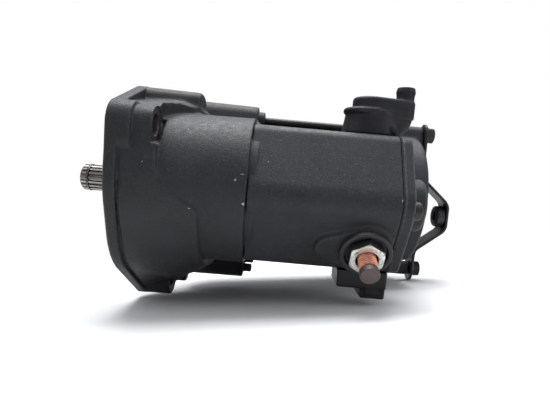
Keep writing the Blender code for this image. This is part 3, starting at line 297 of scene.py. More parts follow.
class Grid:
    def __init__(self, low, high, step):
        self.low = np.array(low, float)
        self.step = step = step * COARSE
        self.axes = []
        for a, b in zip(low, high):
            count = int(math.ceil((b - a) / step)) + 1
            self.axes.append(np.float32(a) + np.arange(count, dtype=np.float32) * np.float32(step))
        self.x = self.axes[0][:, None, None]
        self.y = self.axes[1][None, :, None]
        self.z = self.axes[2][None, None, :]
        self.Y, self.Z = np.meshgrid(self.axes[1], self.axes[2], indexing="ij")

    def belt(self, circles):
        """Section of a belt round circles (y, z, radius)."""
        return polygon_distance(belt_polygon(circles), self.Y, self.Z)

    def disc(self, y, z, radius):
        return (np.hypot(self.Y - y, self.Z - z) - radius).astype(np.float32)

    def extrude(self, section, start, end, *rounding_and_growth):
        return slab(section[None], self.x, start, end, *rounding_and_growth)

    def rod(self, y, z, radius, start, end, rounding):
        """Round-edged cylinder along X."""
        return self.extrude(self.disc(y, z, radius), start, end, rounding)

    def bore(self, y, z, radius, start, end):
        """Sharp-edged cylinder along X."""
        ends = between(self.x, start, end)
        return np.maximum(self.disc(y, z, radius)[None], ends).astype(np.float32)

    def drill(self, body, *bores):
        for bore in bores:
            body = cut(body, self.bore(*bore))
        return body

    def join_pads(self, body, pads):
        """Joins pads (circles, start x, end x, rounding, growth at the end, blend)."""
        for circles, start, end, rounding, growth, blend in pads:
            pad = self.extrude(self.belt(circles), start, end, rounding, growth)
            body = join(body, pad, blend)
        return body

    def loft(self, stops):
        """Field whose section passes through stops (x, section)."""
        out = stops[0][1][None] * np.ones_like(self.x)
        for (xa, a), (xb, b) in zip(stops, stops[1:]):
            t = np.clip((self.x - xa) / (xb - xa), 0, 1)
            out = np.where(self.x >= xa, a[None] * (1 - t) + b[None] * t, out)
        return out.astype(np.float32)

    def about(self, axis, origin):
        """Distance along an axis, and radius from it."""
        axis = np.asarray(axis, float)
        dx, dy, dz = self.x - origin[0], self.y - origin[1], self.z - origin[2]
        u = dx * axis[0] + dy * axis[1] + dz * axis[2]
        squared = dx ** 2 + dy ** 2 + dz ** 2 - u ** 2
        return u.astype(np.float32), np.sqrt(np.maximum(squared, 0)).astype(np.float32)

    def ball(self, x, y, z, radius, tall=1.0):
        squared = (self.x - x) ** 2 + (self.y - y) ** 2 + ((self.z - z) / tall) ** 2
        return (np.sqrt(squared) - radius).astype(np.float32)

    def box(self, low, high, rounding):
        q = [np.abs(a - (l + u) / 2) - (u - l) / 2 + rounding
             for a, l, u in zip((self.x, self.y, self.z), low, high)]
        out = np.sqrt(np.maximum(q[0], 0) ** 2 + np.maximum(q[1], 0) ** 2
                      + np.maximum(q[2], 0) ** 2)
        inner = np.minimum(np.maximum(np.maximum(q[0], q[1]), q[2]), 0)
        return (out + inner - rounding).astype(np.float32)


def edge_ends(values, axis, others=slice(None)):
    """Values at the two ends of each grid edge along axis."""
    first, second = [others] * 3, [others] * 3
    first[axis], second[axis] = slice(0, -1), slice(1, None)
    return values[tuple(first)], values[tuple(second)]


def surface(name, grid, field, materials, angle, slot_of=None):
    """Meshes the zero of a field, with one vertex in each cell that it crosses."""
    field = field.copy()
    field[np.abs(field) < 1e-5] = 1e-5
    solid = field < 0
    cells = tuple(n - 1 for n in field.shape)
    total = np.zeros((*cells, 3), np.float32)
    count = np.zeros(cells, np.float32)
    for axis in range(3):
        others = [a for a in range(3) if a != axis]
        start, end = edge_ends(field, axis)
        hit = np.not_equal(*edge_ends(solid, axis))
        t = np.where(hit, start / np.where(hit, start - end, 1), 0).astype(np.float32)
        # each cell has four edges along axis, at these offsets on the other axes
        for offsets in ((0, 0), (0, 1), (1, 0), (1, 1)):
            source = [slice(None)] * 3
            for other, offset in zip(others, offsets):
                source[other] = slice(offset, offset + cells[other])
            crossed = hit[tuple(source)]
            count += crossed
            total[..., axis] += t[tuple(source)]
            for other, offset in zip(others, offsets):
                total[..., other] += crossed * offset
    active = count > 0
    number = np.full(cells, -1, np.int64)
    number[active] = np.arange(int(active.sum()))
    corners = np.argwhere(active).astype(np.float32)
    points = (corners + total[active] / count[active][:, None]) * grid.step + grid.low
    quads = []
    for axis in range(3):
        others = [a for a in range(3) if a != axis]
        start, end = edge_ends(solid, axis, slice(1, -1))
        edges = np.argwhere(start != end)
        starts_solid = start[tuple(edges.T)]
        edges[:, others] += 1
        around = []
        for offsets in ((-1, -1), (0, -1), (0, 0), (-1, 0)):
            cell = edges.copy()
            cell[:, others] += offsets
            around.append(number[tuple(cell.T)])
        quad = np.stack(around, 1)
        keep = starts_solid if axis != 1 else ~starts_solid
        quad[~keep] = quad[~keep][:, ::-1]
        quads.append(quad)
    quads = np.concatenate(quads)
    slots = slot_of(points[quads].mean(axis=1)) if slot_of else None
    return add_mesh(name, points, quads, materials, angle, slots)


# ============================================================ shader building
# Scales, periods and depths in the materials are in metres.
class Nodes:
    """Makes nodes in a cleared node tree."""

    def __init__(self, tree):
        self.tree = tree
        tree.nodes.clear()

    def feed(self, socket, value):
        """Links or sets a socket; None leaves its default."""
        if isinstance(value, bpy.types.NodeSocket):
            self.tree.links.new(value, socket)
        elif value is not None:
            socket.default_value = (*value, 1.0) if socket.type == "RGBA" else value

    def node(self, kind, inputs=None, **settings):
        made = self.tree.nodes.new("ShaderNode" + kind)
        for key, value in settings.items():
            setattr(made, key, value)
        for key, value in (inputs or {}).items():
            self.feed(made.inputs[key], value)
        return made

    def ramp(self, value, *stops, tint=(1.0, 1.0, 1.0)):
        """Ramp through stops (position, level)."""
        stops = stops or ((0.3, 0.0), (0.7, 1.0))
        made = self.node("ValToRGB", {0: value})
        elements = made.color_ramp.elements
        while len(elements) < len(stops):
            elements.new(0.5)
        for element, (position, level) in zip(elements, stops):
            element.position = position
            element.color = (*(level * c for c in tint), 1)
        return made.outputs[0]

    def math(self, operation, a, b=None, c=None, clamp=False):
        return self.node("Math", {0: a, 1: b, 2: c}, operation=operation,
                         use_clamp=clamp).outputs[0]

    def times(self, a, b, clamp=False):
        return self.math("MULTIPLY", a, b, clamp=clamp)

    def plus(self, a, b):
        return self.math("ADD", a, b)

    def minus(self, a, b):
        return self.math("SUBTRACT", a, b)


class Material(Nodes):
    """Principled material in object coordinates."""

    def __init__(self, name):
        self.material = bpy.data.materials.new(name)
        self.material.use_nodes = True
        super().__init__(self.material.node_tree)
        self.output = self.node("OutputMaterial")
        self.principled = self.node("BsdfPrincipled")
        self.feed(self.output.inputs[0], self.principled.outputs[0])
        self.place = self.node("TexCoord").outputs["Object"]

    @cached_property
    def geometry(self):
        return self.node("NewGeometry").outputs

    def noise(self, scale, detail=3.0, rough=0.55, stretch=None):
        vector = self.place
        if stretch is not None:
            vector = self.node("Mapping", {"Vector": vector, "Scale": stretch}).outputs[0]
        inputs = {"Vector": vector, "Scale": scale, "Detail": detail, "Roughness": rough}
        return self.node("TexNoise", inputs).outputs["Fac"]

    def patches(self, *stops, **noise):
        """Noise through a ramp of (position, level) stops."""
        return self.ramp(self.noise(**noise), *stops)

    def voronoi(self, scale, feature="F1"):
        inputs = {"Vector": self.place, "Scale": scale}
        return self.node("TexVoronoi", inputs, feature=feature).outputs["Distance"]

    def vector_math(self, operation, a, b=None, output=0):
        return self.node("VectorMath", {0: a, 1: b}, operation=operation).outputs[output]

    def battery_height(self):
        """Distance along the battery terminal's axis, in metres."""
        return self.vector_math("DOT_PRODUCT", self.place, tuple(BATTERY_OUT), "Value")

    def mix(self, factor, a, b):
        """Colour a, or b where factor is 1."""
        return self.node("Mix", {0: factor, 6: a, 7: b}, data_type="RGBA").outputs[2]

    def span(self, factor, start, end):
        """Number from start, at factor 0, to end, at factor 1."""
        return self.node("Mix", {0: factor, 2: start, 3: end}, data_type="FLOAT").outputs[0]

    def bump(self, height, strength, depth, normal=None):
        inputs = {"Strength": strength, "Distance": depth, "Height": height, "Normal": normal}
        return self.node("Bump", inputs).outputs[0]

    def xyz(self, vector=None):
        return self.node("SeparateXYZ", {0: vector or self.place}).outputs

    def facing_up(self):
        return self.xyz(self.geometry["Normal"])[2]

    def edges(self, *stops):
        """Level by how sharp the surface is: over 0.5 on edges, under it in grooves."""
        return self.ramp(self.geometry["Pointiness"], *stops)

    def spread(self, noise, width):
        """Noise centred on zero."""
        return self.times(self.minus(noise, 0.5), width)

    def wave(self, value, period):
        """Sine from 0 to 1."""
        turns = self.times(value, 2 * math.pi / period)
        return self.plus(self.times(self.math("SINE", turns), 0.5), 0.5)

    def finish(self, colour, rough, metal=0.0, normal=None, specular=None, coat=None):
        for key, value in (("Base Color", colour), ("Roughness", rough), ("Metallic", metal),
                           ("Normal", normal), ("Specular IOR Level", specular),
                           ("Coat Weight", coat)):
            self.feed(self.principled.inputs[key], value)
        return self.material


def shade(colour, factor):
    return tuple(c * factor for c in colour)


# ============================================================ materials
# chips in the coat: x, y, z, shrink along each axis, radius
CHIPS = (
    (14.6, -32.4, 9.0, (1.0, 0.3, 0.5), 0.30), (14.0, -32.4, -4.5, (0.6, 0.3, 1.0), 0.40),
    (51.8, -30.5, 7.4, (0.28, 0.3, 1.3), 0.26), (49.4, -31.0, 5.2, (0.5, 0.3, 0.45), 0.30),
    (53.3, -31.6, -3.6, (0.4, 0.3, 0.6), 0.42), (52.8, -27.5, -17.5, (0.7, 0.3, 0.45), 0.36),
    (52.2, -28.6, -14.6, (0.4, 0.3, 1.0), 0.24), (57.5, -27.9, 1.0, (0.35, 0.3, 1.0), 0.26),
    (33.0, -31.5, -7.0, (0.4, 0.3, 1.0), 0.22), (112.4, -30.0, 2.6, (1.0, 0.3, 0.5), 0.3),
    (61.0, -24.6, 13.0, (1.0, 0.3, 1.0), 0.25), (71.0, -28.2, 6.5, (1.0, 0.3, 1.0), 0.25),
    (96.0, -26.8, 8.0, (0.5, 0.3, 1.0), 0.22),
)


def chip_mask(m, chips):
    """1 inside the ragged chips."""
    ragged = m.noise(scale=900, detail=4, rough=0.7)
    mask = None
    for x, y, z, shrink, radius in chips:
        offset = m.vector_math("SUBTRACT", m.place, packed(x, y, z))
        offset = m.vector_math("MULTIPLY", offset, shrink)
        distance = m.vector_math("LENGTH", offset, output="Value")
        distance = m.math("DIVIDE", distance, radius * MM)
        distance = m.plus(distance, m.spread(ragged, width=1.6))
        chip = m.math("LESS_THAN", distance, 0.75)
        mask = chip if mask is None else m.math("MAXIMUM", mask, chip)
    return mask


def powder(name, base=(0.0125, 0.0130, 0.0142), chips=(), grain=1.0, speck_highlight=1.0,
           wear=0.6, reach=0.0):
    """Die casting under textured black powder coat.

    grain scales its relief, speck the flecks painted lighter as highlight on upward faces,
    wear how bare the edges are and reach how far that wear spreads.
    """
    m = Material(name)
    middle = m.noise(scale=420, detail=4, rough=0.6)
    grains = m.plus(m.times(m.voronoi(scale=1500, feature="SMOOTH_F1"), 0.75),
                    m.times(m.noise(scale=2300, detail=3, rough=0.65), 0.6))
    colour = m.mix(m.patches(scale=55), base, shade(base, 1.55))
    colour = m.mix(m.ramp(middle, (0.45, 0.0), (0.75, 0.55)), colour, shade(base, 2.2))

    # painted highlight: fine grain and crumbs painted lighter, the more so the more a face looks
    # upwards
    up = m.math("MULTIPLY_ADD", m.facing_up(), 0.5, 0.5)
    fine = m.patches((0.42, 0.0), (0.66, 1.0), scale=2300, detail=2, rough=0.6)
    fine_highlight_by_slope = ((0.30, 0.12), (0.60, 0.24), (0.80, 0.50), (0.95, 0.90))
    highlight_amount = m.ramp(up, *((p, level * speck_highlight) for p, level in fine_highlight_by_slope))
    colour = m.mix(m.times(fine, highlight_amount), colour, (0.046, 0.052, 0.066))
    crumbs = m.times(m.patches((0.60, 0.0), (0.72, 1.0), scale=1500, detail=2, rough=0.5),
                     m.patches((0.35, 0.25), (0.62, 1.0), scale=300, detail=2))
    crumb_highlight_by_slope = ((0.30, 0.04), (0.62, 0.14), (0.80, 0.30), (0.95, 1.0))
    highlight_amount = m.ramp(up, *((p, level * speck_highlight) for p, level in crumb_highlight_by_slope))
    colour = m.mix(m.times(crumbs, highlight_amount), colour, (0.17, 0.18, 0.20))

    worn = m.times(m.edges((0.515 - 0.008 * reach, 0.0), (0.60 - 0.055 * reach, 1.0)),
                   m.patches((0.42 - 0.14 * reach, 0.0), (0.70 - 0.1 * reach, 1.0),
                             scale=700, detail=4, rough=0.7))
    colour = m.mix(m.times(worn, wear), colour, (0.095, 0.10, 0.108))
    rough = m.span(m.ramp(middle), start=0.44, end=0.62)
    metal = 0.0
    if chips:
        mask = chip_mask(m, chips)
        colour = m.mix(mask, colour, (0.30, 0.30, 0.31))
        rough = m.span(mask, start=rough, end=0.42)
        metal = m.times(mask, 0.8)
    relief = m.bump(grains, strength=0.55 * grain, depth=0.00016)
    relief = m.bump(m.noise(scale=240), strength=0.18, depth=0.0004, normal=relief)
    return m.finish(colour, rough, metal, relief, specular=0.26)


def paint(name, base, rough=(0.34, 0.52), peel=1.0):
    """Smooth black paint on steel with a slight orange peel and rubbed edges."""
    m = Material(name)
    rubbed, dust = (0.11, 0.112, 0.118), (0.10, 0.10, 0.105)
    fine = m.noise(scale=650, detail=3, rough=0.6)
    colour = m.mix(m.patches(scale=70), base, shade(base, 1.5))
    worn = m.times(m.edges((0.53, 0.0), (0.62, 1.0)),
                   m.patches((0.38, 0.0), (0.66, 1.0), scale=800, detail=4, rough=0.7))
    colour = m.mix(m.times(worn, 0.6), colour, rubbed)
    colour = m.mix(m.patches((0.66, 0.0), (0.74, 0.35), scale=2600, detail=2), colour, dust)
    return m.finish(colour, m.span(m.ramp(fine), *rough),
                    normal=m.bump(fine, strength=0.12 * peel, depth=0.0002), specular=0.30)


def machined(name, base, rough, stretch=(1, 1, 1), axis=None, coat_from=None):
    """Bare metal with fine tool marks.

    Marks ring the axis (y, z), or else follow stretch.  Black coat begins at the x
    coat_from and is full 0.22 mm further back.
    """
    m = Material(name)
    if axis is not None:
        xyz = m.xyz()
        squares = [m.math("POWER", m.minus(xyz[i + 1], axis[i] * MM), 2.0) for i in (0, 1)]
        radius = m.math("SQRT", m.plus(*squares))
        marks = m.plus(m.times(m.wave(radius, period=0.00045), 0.6),
                       m.times(m.noise(scale=1500, detail=2), 0.6))
    else:
        marks = m.noise(scale=900, detail=3, rough=0.6, stretch=stretch)
    stain = m.patches((0.35, 0.0), (0.75, 1.0), scale=160, detail=4, rough=0.65)
    colour = m.mix(stain, base, shade(base, 0.62))
    roughness = m.span(m.ramp(marks, (0.3, 0.0), (0.8, 1.0)), *rough)
    metal = 1.0
    if coat_from is not None:
        depth = m.minus(m.xyz()[0], (FACE_X + coat_from) * MM)
        coated = m.times(depth, 1.0 / (0.22 * MM), clamp=True)
        colour = m.mix(coated, colour, (0.016, 0.0165, 0.0185))
        roughness = m.span(coated, start=roughness, end=0.52)
        metal = m.minus(1.0, coated)
    return m.finish(colour, roughness, metal, m.bump(marks, strength=0.16, depth=0.00006))


def rubber():
    """Matt moulded rubber, lighter in patches on its upper faces."""
    m = Material("moulded_rubber")
    dark, light = (0.0073, 0.0078, 0.0116), (0.014, 0.0149, 0.0197)
    upper_patch_tone, rubbed = (0.075, 0.075, 0.08), (0.10, 0.10, 0.105)
    fine = m.noise(scale=1500, detail=3, rough=0.6)
    colour = m.mix(m.patches((0.35, 0.0), (0.7, 1.0), scale=90, detail=4), dark, light)
    # lighter patches, strongest on faces that look upwards
    lighter_upper_patches = m.times(m.patches((0.50, 0.0), (0.80, 0.5), scale=520, detail=5, rough=0.7),
                    m.ramp(m.facing_up(), (0.1, 0.15), (0.9, 1.0)))
    colour = m.mix(lighter_upper_patches, colour, upper_patch_tone)
    worn = m.times(m.edges((0.52, 0.0), (0.60, 0.7)),
                   m.patches((0.35, 0.2), (0.65, 1.0), scale=600))
    colour = m.mix(m.times(worn, 0.5), colour, rubbed)
    return m.finish(colour, m.span(fine, start=0.42, end=0.62),
                    normal=m.bump(fine, strength=0.18, depth=0.0001), specular=0.3)


def gasket_paper():
    m = Material("gasket_paper")
    dark, light = (0.020, 0.0205, 0.023), (0.040, 0.041, 0.045)
    fibres = m.noise(scale=1200, detail=4, rough=0.7)
    return m.finish(m.mix(fibres, dark, light), rough=0.8,
                    normal=m.bump(fibres, strength=0.3, depth=0.0001), specular=0.2)


def plastic():
    """Satin moulded plastic with a fine spark texture."""
    m = Material("moulded_plastic")
    dark, light, rubbed = (0.0045, 0.0047, 0.0060), (0.0075, 0.0078, 0.0095), (0.07, 0.07, 0.075)
    colour = m.mix(m.patches(scale=80), dark, light)
    worn = m.times(m.edges((0.53, 0.0), (0.60, 0.6)), m.noise(scale=500))
    colour = m.mix(worn, colour, rubbed)
    relief = m.bump(m.voronoi(scale=2600), strength=0.12, depth=0.00006)
    return m.finish(colour, m.span(m.noise(scale=500), start=0.32, end=0.5),
                    normal=relief, specular=0.24)


def phenolic():
    m = Material("phenolic_insulator")
    dark, light = (0.008, 0.0082, 0.0095), (0.018, 0.018, 0.020)
    mottle = m.noise(scale=700, detail=5, rough=0.7)
    colour = m.mix(m.ramp(mottle, (0.35, 0.0), (0.7, 1.0)), dark, light)
    return m.finish(colour, m.span(mottle, start=0.38, end=0.56),
                    normal=m.bump(mottle, strength=0.15, depth=0.00008), specular=0.45)


def zinc():
    """Zinc plate with a faint yellow passivation and patches of grime."""
    m = Material("zinc_plate")
    plate, yellow, dirt = (0.76, 0.77, 0.75), (0.60, 0.59, 0.50), (0.22, 0.21, 0.18)
    fine = m.noise(scale=1900, detail=3, rough=0.6)
    colour = m.mix(m.patches(scale=260, detail=4, rough=0.6), plate, yellow)
    grime = m.patches((0.54, 0.0), (0.66, 0.8), scale=700, detail=5, rough=0.75)
    return m.finish(m.mix(grime, colour, dirt), m.span(fine, start=0.30, end=0.48),
                    m.span(grime, start=0.85, end=0.4),
                    m.bump(fine, strength=0.14, depth=0.00008))


def zinc_shaded_foot():
    """The same plate, with painted shade: near black round the foot of the battery nut."""
    m = Material("zinc_plate_shaded_foot")
    plate, yellow = (0.84, 0.85, 0.83), (0.66, 0.66, 0.58)
    dirt, foot_shade = (0.10, 0.10, 0.085), (0.02, 0.02, 0.021)
    height = m.battery_height()
    broad = m.noise(scale=260, detail=4, rough=0.6)
    fine = m.noise(scale=1900, detail=3, rough=0.6)
    colour = m.mix(m.ramp(broad), plate, yellow)
    grime = m.patches((0.52, 0.0), (0.64, 0.85), scale=800, detail=5, rough=0.75)
    # painted shade: the nut's sides, up to near its top, go near black for the shade round its foot;
    # this also counts as grime for roughness and metal
    height = m.plus(m.math("DIVIDE", height, MM), m.spread(broad, width=0.8))
    foot = m.ramp(m.math("MULTIPLY_ADD", height, -0.5, (APOTHEM + 9.0) * 0.5),
                  (0.42, 0.0), (0.70, 0.95))
    grime = m.math("MAXIMUM", grime, foot)
    colour = m.mix(foot, m.mix(grime, colour, dirt), foot_shade)
    return m.finish(colour, m.span(fine, start=0.28, end=0.46),
                    m.span(grime, start=0.85, end=0.2),
                    m.bump(fine, strength=0.16, depth=0.00009))


def battery_copper():
    """Copper, bright on the thread's crests and brown towards the stud's end."""
    m = Material("bare_copper")
    bright, dull = (0.86, 0.40, 0.27), (0.62, 0.24, 0.15)
    valley_brown, tip_brown = (0.17, 0.060, 0.042), (0.085, 0.060, 0.058)
    broad = m.noise(scale=500, detail=4, rough=0.65)
    fine = m.noise(scale=2200)
    # the brown comes in over 6 mm of height
    height = m.plus(m.battery_height(), m.spread(broad, width=0.0022))
    tip = m.ramp(m.math("MULTIPLY_ADD", height, 1000.0 / 6.0, -(APOTHEM + 10.6) / 6.0,
                        clamp=True), (0.40, 0.0), (0.62, 1.0))
    colour = m.mix(m.ramp(broad, (0.3, 0.0), (0.72, 1.0)), bright, dull)
    xyz = m.xyz()
    across = m.minus(xyz[0], (FACE_X + BATTERY_X) * MM)
    side = m.minus(m.plus(m.times(xyz[1], float(BATTERY_UP[1])),
                          m.times(xyz[2], float(BATTERY_UP[2]))), BATTERY_SIDE * MM)
    radius = m.math("SQRT", m.plus(m.times(across, across), m.times(side, side)))
    # the valley starts at radius 3.48 and is full 0.26 deeper
    valley = m.times(m.minus(3.48 * MM, radius), 1.0 / (0.26 * MM), clamp=True)
    valley = m.times(valley, m.patches((0.3, 0.45), (0.6, 1.0), scale=420))
    colour = m.mix(tip, m.mix(valley, colour, valley_brown), tip_brown)
    rough = m.span(tip, start=m.span(fine, start=0.32, end=0.5), end=0.46)
    return m.finish(colour, rough, m.span(tip, start=0.9, end=0.35),
                    m.bump(fine, strength=0.22, depth=0.0001))


def plain_copper():
    m = Material("copper_plain")
    bright, dull = (0.80, 0.38, 0.24), (0.50, 0.21, 0.13)
    fine = m.noise(scale=1700)
    stain = m.patches((0.3, 0.0), (0.72, 1.0), scale=300, detail=4, rough=0.65)
    return m.finish(m.mix(stain, bright, dull), m.span(fine, start=0.28, end=0.46), metal=1.0,
                    normal=m.bump(fine, strength=0.12, depth=0.00008))


def spline_steel():
    """Oiled, hardened steel; its colour is darker in the grooves and rubbed bright on the crests."""
    m = Material("oiled_spline_steel")
    bright, dull = (0.30, 0.285, 0.265), (0.16, 0.15, 0.135)
    groove_tone, rubbed = (0.035, 0.032, 0.028), (0.38, 0.37, 0.355)
    fine = m.noise(scale=1500, detail=3, rough=0.6, stretch=(0.15, 1, 1))
    stain = m.patches((0.35, 0.0), (0.7, 1.0), scale=240, detail=4, rough=0.65)
    colour = m.mix(stain, bright, dull)
    # darker in the grooves, by how hollow the surface is
    colour = m.mix(m.edges((0.40, 1.0), (0.485, 0.0)), colour, groove_tone)
    colour = m.mix(m.times(m.edges((0.52, 0.0), (0.60, 1.0)), 0.7), colour, rubbed)
    return m.finish(colour, m.span(fine, start=0.26, end=0.44), metal=1.0,
                    normal=m.bump(fine, strength=0.16, depth=0.00008))


def laminations():
    m = Material("laminated_steel")
    sheet, gap, rust = (0.30, 0.30, 0.31), (0.15, 0.145, 0.14), (0.22, 0.17, 0.13)
    layers = m.wave(m.xyz()[0], period=0.0006)
    broad = m.noise(scale=400, detail=4)
    colour = m.mix(layers, sheet, gap)
    colour = m.mix(m.ramp(broad, (0.55, 0.0), (0.75, 0.5)), colour, rust)
    return m.finish(colour, m.span(broad, start=0.34, end=0.55), metal=0.9,
                    normal=m.bump(layers, strength=0.5, depth=0.0001))


def winding():
    m = Material("varnished_winding")
    bright, dull, gap = (0.50, 0.20, 0.08), (0.30, 0.10, 0.035), (0.10, 0.035, 0.015)
    wires = m.wave(m.xyz()[0], period=0.0013)
    broad = m.noise(scale=250, detail=4)
    colour = m.mix(m.ramp(broad), bright, dull)
    colour = m.mix(m.times(m.minus(1.0, wires), 0.7), colour, gap)
    return m.finish(colour, m.span(broad, start=0.22, end=0.38), metal=0.55,
                    normal=m.bump(wires, strength=0.6, depth=0.0003), coat=0.4)


def carbon():
    m = Material("carbon_brush")
    black, fleck = (0.035, 0.032, 0.03), (0.16, 0.10, 0.07)
    grain = m.noise(scale=2600, detail=3, rough=0.7)
    colour = m.mix(m.ramp(grain, (0.45, 0.0), (0.75, 1.0)), black, fleck)
    return m.finish(colour, m.span(grain, start=0.45, end=0.65), metal=0.2,
                    normal=m.bump(grain, strength=0.2, depth=0.00006))


def commutator():
    """Copper bars with 23 dark gaps round the motor's axis."""
    m = Material("commutator_copper")
    bright, dull, dark = (0.74, 0.36, 0.20), (0.40, 0.18, 0.10), (0.02, 0.018, 0.015)
    xyz = m.xyz()
    angle = m.math("ARCTAN2", xyz[2], m.minus(xyz[1], MOTOR_Y * MM))
    from_gap = m.math("ABSOLUTE", m.math("SINE", m.times(angle, 23 / 2)))
    gap = m.ramp(from_gap, (0.10, 1.0), (0.16, 0.0))
    rub = m.noise(scale=700, detail=3, rough=0.6, stretch=(1, 0.1, 0.1))
    colour = m.mix(gap, m.mix(rub, bright, dull), dark)
    return m.finish(colour, m.span(rub, start=0.24, end=0.42),
                    m.span(gap, start=1.0, end=0.0), m.bump(gap, strength=-0.5, depth=0.0002))


MAT = {
    "cast": powder("black_cast_coat", chips=CHIPS),
    "cast_sol": powder("black_cast_coat_housing", chips=CHIPS, base=(0.0135, 0.014, 0.0155),
                       grain=0.8),
    # its edges are lightened further and wider than the other coats': partly wear, partly painted
    # highlight along the plate's edges
    "cast_cover": powder("black_cast_coat_cover", base=(0.0145, 0.015, 0.0165),
                         grain=0.55, speck_highlight=0.8, wear=1.0, reach=1.0),
    # painted highlight: the rear cover's coat has a lighter, bluer base than the other coats, for
    # the light that its end catches
    "cast_rear_lit": powder("black_cast_coat_rear_lit", base=(0.0155, 0.0165, 0.0195),
                        grain=0.5, speck_highlight=0.7),
    "bare_face": machined("machined_aluminium_face", base=(0.62, 0.62, 0.63),
                          rough=(0.30, 0.46), axis=(0.0, 0.0), coat_from=0.12),
    "bare_spot": machined("machined_aluminium_spot", base=(0.125, 0.112, 0.116),
                          rough=(0.5, 0.65), axis=NEAR_HOLE),
    "bare_in": machined("raw_casting_inside", base=(0.36, 0.36, 0.37), rough=(0.42, 0.6)),
    "yoke": paint("yoke_black_paint", base=(0.0105, 0.0108, 0.0115)),
    "strap": paint("bracket_black_paint", base=(0.012, 0.0123, 0.013), rough=(0.30, 0.46)),
    "bolt": paint("bolt_black_finish", base=(0.0125, 0.0125, 0.013), rough=(0.30, 0.44),
                  peel=0.6),
    "screw": paint("screw_black_finish", base=(0.0145, 0.0148, 0.0158), rough=(0.34, 0.5),
                   peel=0.6),
    "rubber": rubber(),
    "gasket": gasket_paper(),
    "plastic": plastic(),
    "phenolic": phenolic(),
    "zinc": zinc(),
    "zinc_shaded_foot": zinc_shaded_foot(),
    "copper": battery_copper(),
    "copper_in": plain_copper(),
    "shaft": spline_steel(),
    "steel": machined("turned_steel", base=(0.50, 0.49, 0.475), rough=(0.20, 0.36),
                      stretch=(0.12, 1, 1)),
    "dark_steel": machined("dark_oxide_steel", base=(0.13, 0.127, 0.122), rough=(0.30, 0.46),
                           stretch=(0.2, 1, 1)),
    "bronze": machined("bearing_bronze", base=(0.62, 0.42, 0.20), rough=(0.26, 0.42),
                       stretch=(0.2, 1, 1)),
    "lam": laminations(),
    "wire": winding(),
    "carbon": carbon(),
    "commutator": commutator(),
}


# ============================================================ drive housing
# circles (y, z, radius) that the flange's outline runs round
FLANGE_MAIN = [(-24.0, 23.2, 8.9), (0.0, 4.0, 32.3), (6.0, -8.5, 33.5), (26.0, 4.0, 33.0)]
FLANGE_EAR = (*LOW_HOLE, 8.5)
FLANGE_TOP = (4.0, 31.6, 10.4)
# circles, start x, end x, rounding, growth at the end, blend
DRIVE_PADS = (
    # ridge along the top
    ([(3.4, 36.2, 5.6), (8.0, 31.6, 10.2), (8.0, 22.0, 13.0)], 2.5, 29.0, 1.4, -0.6, 2.2),
    # boss of the near hole and the corner pad beside it
    ([(*NEAR_HOLE, 7.3), (-14.0, 16.0, 9.0)], 3.0, BOSS_X, 0.6, -0.2, 1.2),
    ([(-24.0, 23.2, 8.75), (-26.8, 17.6, 5.9), (-12.0, 20.0, 8.0)], 2.0, 9.4, 0.55, 0.0, 0.7),
    # boss of the low hole and the step beside it
    ([(*LOW_HOLE, 8.3), (20.0, -30.0, 10.0)], 2.5, BOSS_X, 0.8, 0.0, 1.4),
    ([(34.0, -45.0, 6.8), (36.0, -26.0, 10.0)], 3.0, 21.9, 0.9, 0.0, 1.4),
    # upper and lower through bolts
    ([(MOTOR_Y, BOLT_Z, 8.3), (MOTOR_Y, 26.0, 12.0)], 17.5, 51.4, 1.0, -0.7, 2.6),
    ([(MOTOR_Y, LOW_BOLT_Z, 8.3), (57.0, -45.8, 6.9), (56.0, -26.0, 12.0)],
     17.6, 49.8, 1.0, -0.3, 2.6),
)
# casting round the shaft and the motor: x, radius round the shaft (y 8), radius round the motor
CASE_STATIONS = ((13.5, 26.0, 31.5), (14.6, 27.5, 34.0), (17.5, 28.5, 35.6), (53.7, 29.0, 35.9))
# y, z, radius, start x, end x of the bare spaces inside
DRIVE_INSIDE = ((0, 0, 29.55, 6.0, math.inf), (MOTOR_Y, 0, 29.2, 43.5, math.inf),
                (*IDLER, 17.4, 26.0, 45.2), (0, 0, 12.0, 0.3, math.inf))


def drive_skirt(g):
    """Tapering skirt behind the flange, ended by sloping planes."""
    rim = g.belt(FLANGE_MAIN + [FLANGE_EAR])
    middle = g.belt(FLANGE_MAIN + [(22.0, -37.8, 11.2)])
    rear = g.belt([(-0.6, -1.0, 32.6), (3.0, -4.0, 32.0), (26.0, -24.0, 16.0), (30.0, 4.0, 30.0)])
    # the upper near corner is set in by up to 1.3
    inset = (np.clip((g.Z - 10.0) / 5.0, 0, 1) * np.clip((-16.0 - g.Y) / 4.0, 0, 1) * 1.3)
    inset = inset.astype(np.float32)
    skirt = g.loft([(4.0, rim + 1.1), (5.0, rim + 1.1 + inset), (16.4, middle + 0.5 + inset),
                    (21.7, middle + 0.6), (36.0, rear + 0.9)])
    skirt = meet(skirt, between(g.x, 3.5, 36.4), 0.8)
    # the skirt ends behind the near boss and along a slope below it
    side = np.minimum((g.x - 18.7 - (16.5 - g.z) * 0.114) * 0.994,
                      (g.x - 20.3 - (2.5 - g.z) * 1.467) * 0.563)
    side = np.where(g.z > 16.5, np.maximum(side, g.x - 16.8), side)
    side = np.minimum(side, (-15.0 + (g.x - 16.8) * 1.15 - g.y) * 0.66).astype(np.float32)
    skirt = meet(skirt, side, 0.4)
    return meet(skirt, np.minimum(-43.2 - g.z, g.x - 23.0 - (g.z + 49.0) * 0.25), 0.6)


